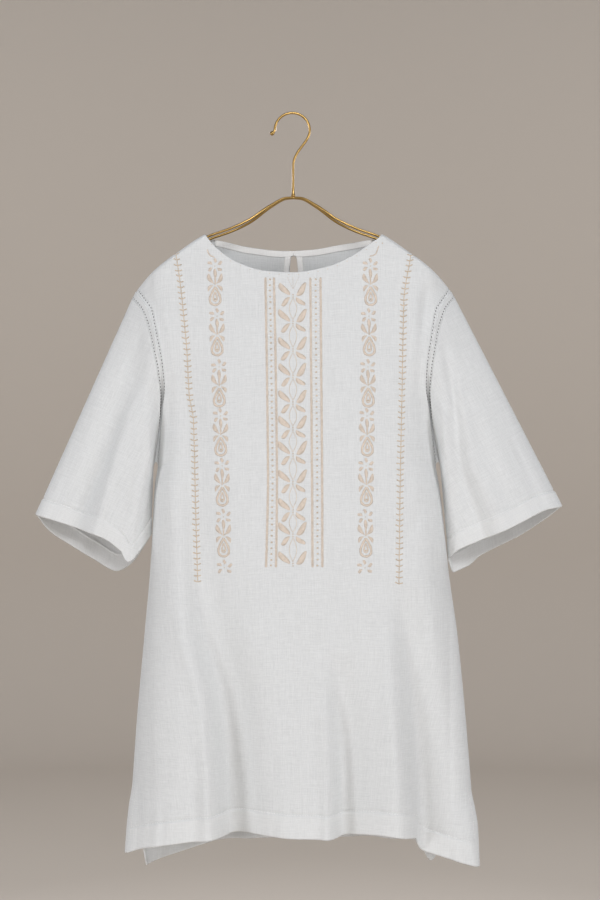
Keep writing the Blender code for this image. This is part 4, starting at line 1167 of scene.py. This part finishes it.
# the ends of a stem on each side, where the neckline cuts the top motif
addLine(outlines, [-102.3, -101.0, -98.5, -93.7], [-165.0, -169.5, -172.5, -174.2], 1.7, 0.8)
addLine(outlines, [101.4, 99.8, 97.8, 94.0, 90.5], [-160.5, -165.5, -170.6, -172.5, -173.0], 1.5, 0.8)
addKnot(105.0, 106.4, -157.5, 1.5, 0.9)

satinPiece = satin.build("satin_leaves", frontTable, tanThread)
outlinePiece = outlines.build("stem_stitch_lines", frontTable, tanThread)
fineLinePiece = fineLines.build("fine_leaf_outlines", frontTable, paleThread)
knotPiece = knots.build("small_knots", frontTable, darkThread)

sprigs, stems = Basket(), Basket()
for side in ("right", "left"):
    column = ferns[side]
    z = np.arange(column["z"][0], column["z"][-1], -ferns["pitch"])
    z = z + random.normal(0, 0.2, len(z))
    x = smooth(column, "z", "x", z)
    for sign in (-1, 1):
        # a twig out to each side, with a short stitch across its tip
        wobble = random.normal(0, 0.3, (2, len(z)))
        reach = ferns["reach"] + wobble[0]
        tipX, tipZ = x + sign * (reach - 0.3), z + ferns["tilt"] + wobble[1]
        sprigs.add(*stitchRows(x, z - 0.6, x + sign * reach, tipZ, 1.35, 0.8))
        sprigs.add(*stitchRows(tipX - 0.7, tipZ, tipX + 0.7, tipZ, 1.7, 1.0))
    pathZ = np.linspace(column["z"][0], column["z"][-1], 120)
    addLine(stems, smooth(column, "z", "x", pathZ), pathZ, 1.1, 0.65, steps=240)
sprigPiece = sprigs.build("fern_sprigs", frontTable, darkThread)
stemPiece = stems.build("fern_stems", frontTable, darkThread)
print("embroidery ready")


# Sewing: rows of small stitches on the hems and slits, and pick stitches round the front neck

sewing = {"length": 2.0, "pitch": 3.0, "width": 0.7, "height": 0.45, "endX": 8, "slitTop": 4, "slitEndZ": -866}
pick = {"reach": 98, "pitch": 11.5, "drop": 2.6, "length": 1.3, "width": 0.8, "height": 0.5}


def panelStitches(table, face):
    # one row a hem's height above the hem's edge, and one inside each slit's turned edge
    basket = Basket()
    ends = hem[face]["x"]
    x = np.arange(ends[0] + sewing["endX"], ends[-1] - sewing["endX"], sewing["pitch"])
    z = smooth(hem[face], "x", "z", x) + outline["hemBand"]
    slope = np.gradient(z, x)
    basket.add(*stitchRows(x, z, x + sewing["length"], z + slope * sewing["length"], sewing["width"],
                           sewing["height"], steps=3, lift=0.02, arch=0.12))
    for side, step in (("right", 1), ("left", -1)):
        z = np.arange(outline["slitZ"] - sewing["slitTop"], sewing["slitEndZ"], -sewing["pitch"])
        fall = np.clip((outline["slitZ"] - z) / (outline["slitZ"] - outline["hemZ"]), 0, 1)
        x = smooth(slitEdge[face], "fall", side, fall) + step * (outline["slitBand"] + 0.5)
        basket.add(*stitchRows(x, z, x, z - sewing["length"], sewing["width"], sewing["height"], steps=3,
                               lift=0.02, arch=0.12))
    return basket.build(face + "_hem_stitches", table, whiteThread, sides=5)


frontStitches = panelStitches(frontTable, "front")
backStitches = panelStitches(backTable, "back")

picks = Basket()
x = np.arange(-pick["reach"], pick["reach"], pick["pitch"])
z = smooth(neckline["front"], "x", "z", x) - pick["drop"]
picks.add(*stitchRows(x, z, x + pick["length"], z, pick["width"], pick["height"], lift=-0.05, arch=0.1))
pickPiece = picks.build("neck_pick_stitches", frontTable, darkThread)


def sleeveStitches(side):
    # the hem's row of stitches, read from the sleeve's own grid
    _, *grids = sleeves[side]
    level = sleeveForm[side]["hemBand"]
    grid, inward, rise = (np.concatenate([values, values[:, :1]], axis=1) for values in grids)
    line, ways = (np.stack([[np.interp(-level, -rise[:, c], values[:, c, i]) for i in range(3)]
                            for c in range(grid.shape[1])]) for values in (grid, inward))
    length = np.concatenate([[0], np.cumsum(np.linalg.norm(np.diff(line, axis=0), axis=1))])
    start = np.arange(0, length[-1] - 3, sewing["pitch"])
    at = start[:, None] + np.linspace(0, sewing["length"], 3)[None]
    centres = np.stack([np.interp(at, length, line[:, i]) for i in range(3)], axis=-1)
    normals = -unit(np.stack([np.interp(at, length, ways[:, i]) for i in range(3)], axis=-1))
    centres = centres + normals * np.array([0.02, 0.14, 0.02])[None, :, None]
    wide = np.tile(sewing["width"] / 2 * np.array([0.4, 1, 0.4]), (len(at), 1))
    return tubes("sleeve_" + side + "_hem_stitches", centres, normals, wide, wide * 0.8, whiteThread, sides=5)


sleeveStitchPieces = {side: sleeveStitches(side) for side in ("right", "left")}
print("sewing ready")


# Button and its thread loop

button = {"x": -6.3, "drop": 3.2, "sides": 28, "out": [0.0, 0.4, 1.0, 1.6, 2.1, 2.35, 2.4],
          "radius": [1.9, 2.9, 3.35, 3.1, 2.2, 1.2, 0.3]}
buttonLoop = {"count": 22, "halfX": 3.9, "halfZ": 3.3, "shift": 1.0, "thread": 0.95, "lift": 0.6}


def turned(name, out, radius, centre, sides, material):
    # a ring of each radius about the Y axis, at its distance out along that axis
    angles = np.arange(sides) / sides * 2 * math.pi
    out, radius = np.array(out)[:, None], np.array(radius)[:, None]
    x = centre[0] + radius * np.cos(angles)
    y = centre[1] + out + 0 * angles
    z = centre[2] + radius * np.sin(angles)
    points = np.stack([x, y, z], axis=-1).reshape(-1, 3)
    quads = gridQuads(len(out), sides, closed=True)
    first = np.arange(sides)[None, ::-1]
    last = np.arange(sides)[None] + (len(out) - 1) * sides
    if outwardSign(points, quads) < 0:
        quads = quads[:, ::-1]
    return addMesh(name, points, [quads, first, last], material, sharp=50)


x = np.array([button["x"]])
z = smooth(neckline["back"], "x", "z", x) - button["drop"]
seat = onPanel(backTable, x, z, np.zeros(1))[0][0]
buttonPiece = turned("pearl_button", button["out"], button["radius"], (seat[0], seat[1] + 0.2, seat[2]),
                     button["sides"], pearl)
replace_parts(buttonPiece, "button")
angle = np.linspace(-0.35, 2 * math.pi - 1.0, buttonLoop["count"])
loopX = button["x"] + buttonLoop["halfX"] * np.cos(angle) + buttonLoop["shift"]
loopZ = seat[2] + buttonLoop["halfZ"] * np.sin(angle)
thread = np.full(buttonLoop["count"], buttonLoop["thread"])
loopBasket = Basket()
loopBasket.add(loopX, loopZ, thread, thread, np.full(buttonLoop["count"], buttonLoop["lift"]))
loopPiece = loopBasket.build("button_loop", backTable, whiteThread)
print("button ready")


# Hanger

hanger = {"radius": 1.5, "below": 5.0, "spread": 15.5, "bendX": 154.0, "bend": 13.0, "hookRadius": 21.0,
          "hookX": -1.5, "stemX": -0.3, "stemTop": -62.0, "stemFoot": -98.7, "sides": 20}
hangerBow = {"x": [0, 8, 28, 52, 75, 98], "z": [-100.5, -101, -111, -128, -139, -147]}
hangerSpread = {"x": [0, 20, 45, 70, 154], "y": [1.7, 6, 13, 15.5, 15.5]}
# the weld's flare at the hook's foot, and the bead at its tip
hookFoot = {"rise": [0, 1.2, 3.5, 9, 14.7, 20, 25.7, 31], "radius": [3.0, 2.5, 1.9, 1.6, 1.5]}
hookTip = {"x": [-23.3, -24.2, -25.1, -26.0, -26.9, -27.5, -27.7],
           "z": [-21.0, -21.8, -22.6, -23.35, -24.1, -24.6, -24.8],
           "radius": [1.6, 2.1, 2.5, 2.55, 2.2, 1.4, 0.4]}


def wire(name, path, radii, closed, node):
    # a round bar along a path, its section carried without twist
    ahead = unit(np.roll(path, -1, axis=0) - np.roll(path, 1, axis=0) if closed else np.gradient(path, axis=0))
    up = np.array([0.0, 0.0, 1.0]) if closed else np.array([0.0, 1.0, 0.0])
    aside = unit(np.cross(ahead, up))
    other = np.cross(ahead, aside)
    angles = np.arange(hanger["sides"]) / hanger["sides"] * 2 * math.pi
    ring = path[:, None] + radii[:, None, None] * (np.cos(angles)[:, None] * aside[:, None]
                                                    + np.sin(angles)[:, None] * other[:, None])
    points = ring.reshape(-1, 3)
    rows, sides = len(path), hanger["sides"]
    quads = gridQuads(rows, sides, closed=True)
    first, last = np.arange(sides), (rows - 1) * sides + np.arange(sides)
    if closed:
        joint = np.stack([last, np.roll(last, -1), np.roll(first, -1), first], axis=1)
        faces = [np.concatenate([quads, joint])]
    else:
        faces = [quads, first[None, ::-1], last[None]]
    if outwardSign(points, faces[0]) < 0:
        faces = [part[:, ::-1] for part in faces]
    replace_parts(addMesh(name, points, faces, brass), node)


def hangerHeight(x):
    # the bow's table in the middle, then a set distance under the shoulders' crest
    x, bowEnd = np.abs(x), hangerBow["x"][-1]
    under = crestHeight(np.maximum(x, outline["neckX"])) - hanger["below"]
    blend = np.clip((x - bowEnd) / (outline["neckX"] - bowEnd), 0, 1)
    return np.where(x < bowEnd, smooth(hangerBow, "x", "z", x),
                    (1 - blend) * hangerBow["z"][-1] + blend * under)


# half an arm and its bend, mirrored, make one closed wire
run = np.linspace(0, hanger["bendX"], 90)
bendAngle = np.radians(np.linspace(0, 180, 21)[1:-1])
halfX = np.concatenate([run, hanger["bendX"] + hanger["bend"] * np.sin(bendAngle), run[::-1]])
halfY = np.concatenate([-smooth(hangerSpread, "x", "y", run), -hanger["spread"] * np.cos(bendAngle),
                        smooth(hangerSpread, "x", "y", run[::-1])])
armX = np.concatenate([halfX, -halfX[::-1][1:-1]])
armY = np.concatenate([halfY, halfY[::-1][1:-1]])
armPath = np.stack([armX, armY, hangerHeight(armX)], axis=1)
wire("brass_arms", armPath, np.full(len(armPath), hanger["radius"]), True, "hanger_arms")

# the hook: a straight stem, a cubic curve out to the side, an arc over the rail and a beaded tip
stemZ = np.array(hookFoot["rise"]) + hanger["stemFoot"]
stem = np.stack([np.full(len(stemZ), hanger["stemX"]), stemZ], axis=1)
t = np.linspace(0, 1, 26)[:, None]
start = np.array([hanger["stemX"], hanger["stemTop"]])
end = np.array([hanger["hookX"] + hanger["hookRadius"], -19.5])
first, second = start + [0, 18], end - [0, 14.5]
neckPath = (1 - t) ** 3 * start + 3 * (1 - t) ** 2 * t * first + 3 * (1 - t) * t * t * second + t ** 3 * end
arcAngle = np.radians(np.arange(5, 181, 5))
arc = np.stack([hanger["hookX"] + hanger["hookRadius"] * np.cos(arcAngle),
                hanger["radius"] - hanger["hookRadius"] + hanger["hookRadius"] * np.sin(arcAngle)], axis=1)
tipPath = np.stack([hookTip["x"], hookTip["z"]], axis=1)
flat = np.concatenate([stem, neckPath, arc, tipPath])
hookPath = np.stack([flat[:, 0], np.zeros(len(flat)), flat[:, 1]], axis=1)
hookRadii = np.full(len(flat), hanger["radius"])
hookRadii[:len(hookFoot["radius"])] = hookFoot["radius"]
hookRadii[-len(hookTip["radius"]):] = hookTip["radius"]
wire("brass_hook", hookPath, hookRadii, False, "hanger_hook")
print("hanger ready")


# Cloth: the flat size and area that each piece was cut to

cut = {"front": ((0.47, 0.76), 0.29), "back": ((0.45, 0.76), 0.28), "sleeve": ((0.34, 0.29), 0.062)}
flat, area = cut["front"]
flat, area = cut["back"]
for side in ("right", "left"):
    flat, area = cut["sleeve"]


# Stage, lights and camera

stage = {"floorZ": -1750.0, "floorRings": [1.0, 1500, 3500], "radius": 6500.0, "cove": 900.0,
         "wallTop": 3200.0, "around": 96, "colour": "#C6BDB3"}
# rolled paper backdrop: quite matt, so that it shades evenly from floor to wall
studio = newMaterial("studio paper", stage["colour"], 0.95)[0]
coveAngle = np.linspace(0, math.pi / 2, 14)
ringR = np.concatenate([stage["floorRings"],
                        stage["radius"] - stage["cove"] + stage["cove"] * np.sin(coveAngle),
                        [stage["radius"]]])
ringZ = np.concatenate([[stage["floorZ"]] * 3, stage["floorZ"] + stage["cove"] * (1 - np.cos(coveAngle)),
                        [stage["wallTop"]]])
a = np.linspace(0, 2 * math.pi, stage["around"], endpoint=False)
stagePoints = np.stack([ringR[:, None] * np.cos(a), ringR[:, None] * np.sin(a), ringZ[:, None] + 0 * a],
                       axis=-1).reshape(-1, 3)
stageFaces = gridQuads(len(ringR), stage["around"], closed=True)
stageMesh = bpy.data.meshes.new("studio_sweep")
stageMesh.from_pydata((stagePoints * mm).tolist(), [], stageFaces.tolist())
stageMesh.shade_smooth()
stageMesh.materials.append(studio)
stagePiece = bpy.data.objects.new("studio_sweep", stageMesh)
bpy.context.collection.objects.link(stagePiece)

# Soft round lights, in metres and watts. The two keys have narrow beams, which skim the folds and
# leave the walls alone. Without a spread a light shines to all sides of its disc.
lights = {
    "key_right": {"place": (-3.0, -2.1, -0.6), "aim": (0, 0, -0.7), "size": 1.2, "power": 8.2,
                  "spread": 80, "colour": "#F8FAFF"},
    "key_left": {"place": (3.0, -2.1, -0.6), "aim": (0, 0, -0.7), "size": 1.2, "power": 8,
                 "spread": 80, "colour": "#F8FAFF"},
    "front_top": {"place": (0.1, -2.5, 1.0), "aim": (0, 0, -0.45), "size": 0.9, "power": 33,
                  "colour": "#FAFCFF"},
    "floor_fill": {"place": (0.0, -1.0, -1.7), "aim": (0, -1.0, 0), "size": 1.2, "power": 3,
                   "colour": "#FFFBF5"},
    "rim_top": {"place": (0.3, 2.2, 1.7), "aim": (0, 0, -0.4), "size": 1.6, "power": 6,
                "colour": "#FFFFFF"},
    "back_right": {"place": (-1.4, 2.7, 0.2), "aim": (0, 0, -0.5), "size": 0.8, "power": 30,
                   "colour": "#F7F9FF"},
    "back_left": {"place": (1.4, 2.7, 0.2), "aim": (0, 0, -0.5), "size": 0.8, "power": 26,
                  "colour": "#F7F9FF"},
    "wall_right": {"place": (-1.8, 2.6, 1.2), "aim": (-0.6, 6.5, -0.3), "size": 1.6, "power": 42,
                   "colour": "#FFFFFF"},
    "wall_left": {"place": (1.8, 2.6, 1.2), "aim": (0.6, 6.5, -0.3), "size": 1.6, "power": 42,
                  "colour": "#FFFFFF"},
    "wall_ahead_right": {"place": (-1.8, -3.0, 1.2), "aim": (-0.8, -6.5, -0.3), "size": 1.6,
                         "power": 45, "colour": "#F0F4FF"},
    "wall_ahead_left": {"place": (1.8, -3.0, 1.2), "aim": (0.8, -6.5, -0.3), "size": 1.6,
                        "power": 45, "colour": "#F0F4FF"}}
for name, light in lights.items():
    data = bpy.data.lights.new(name, "AREA")
    data.shape = "DISK"
    data.size = light["size"]
    data.energy = light["power"]
    data.spread = math.radians(light.get("spread", 180))
    data.color = linear(light["colour"])[:3]
    lamp = bpy.data.objects.new(name, data)
    bpy.context.collection.objects.link(lamp)
    lamp.location = light["place"]
    lamp.visible_camera = False
    lamp.rotation_euler = (Vector(light["aim"]) - lamp.location).to_track_quat("-Z", "Y").to_euler()

world = bpy.data.worlds.new("studio_air")
world.use_nodes = True
world.node_tree.nodes["Background"].inputs["Color"].default_value = linear("#D2D8E2")
world.node_tree.nodes["Background"].inputs["Strength"].default_value = 0.36
bpy.context.scene.world = world
bpy.context.scene.view_settings.view_transform = "Standard"

# the photo's view: level, from the front, with a picture height of about 1.08 m at the cloth
view = {"place": (0.0078, -2.2, -0.4032), "lens": 73.3, "sensor": 36}
cameraData = bpy.data.cameras.new("camera")
cameraData.sensor_fit = "AUTO"
cameraData.sensor_width = view["sensor"]
cameraData.lens = view["lens"]
camera = bpy.data.objects.new("camera", cameraData)
camera.location = view["place"]
camera.rotation_euler = (math.radians(90), 0, 0)
bpy.context.collection.objects.link(camera)
bpy.context.scene.camera = camera

print("stage, lights and camera ready")
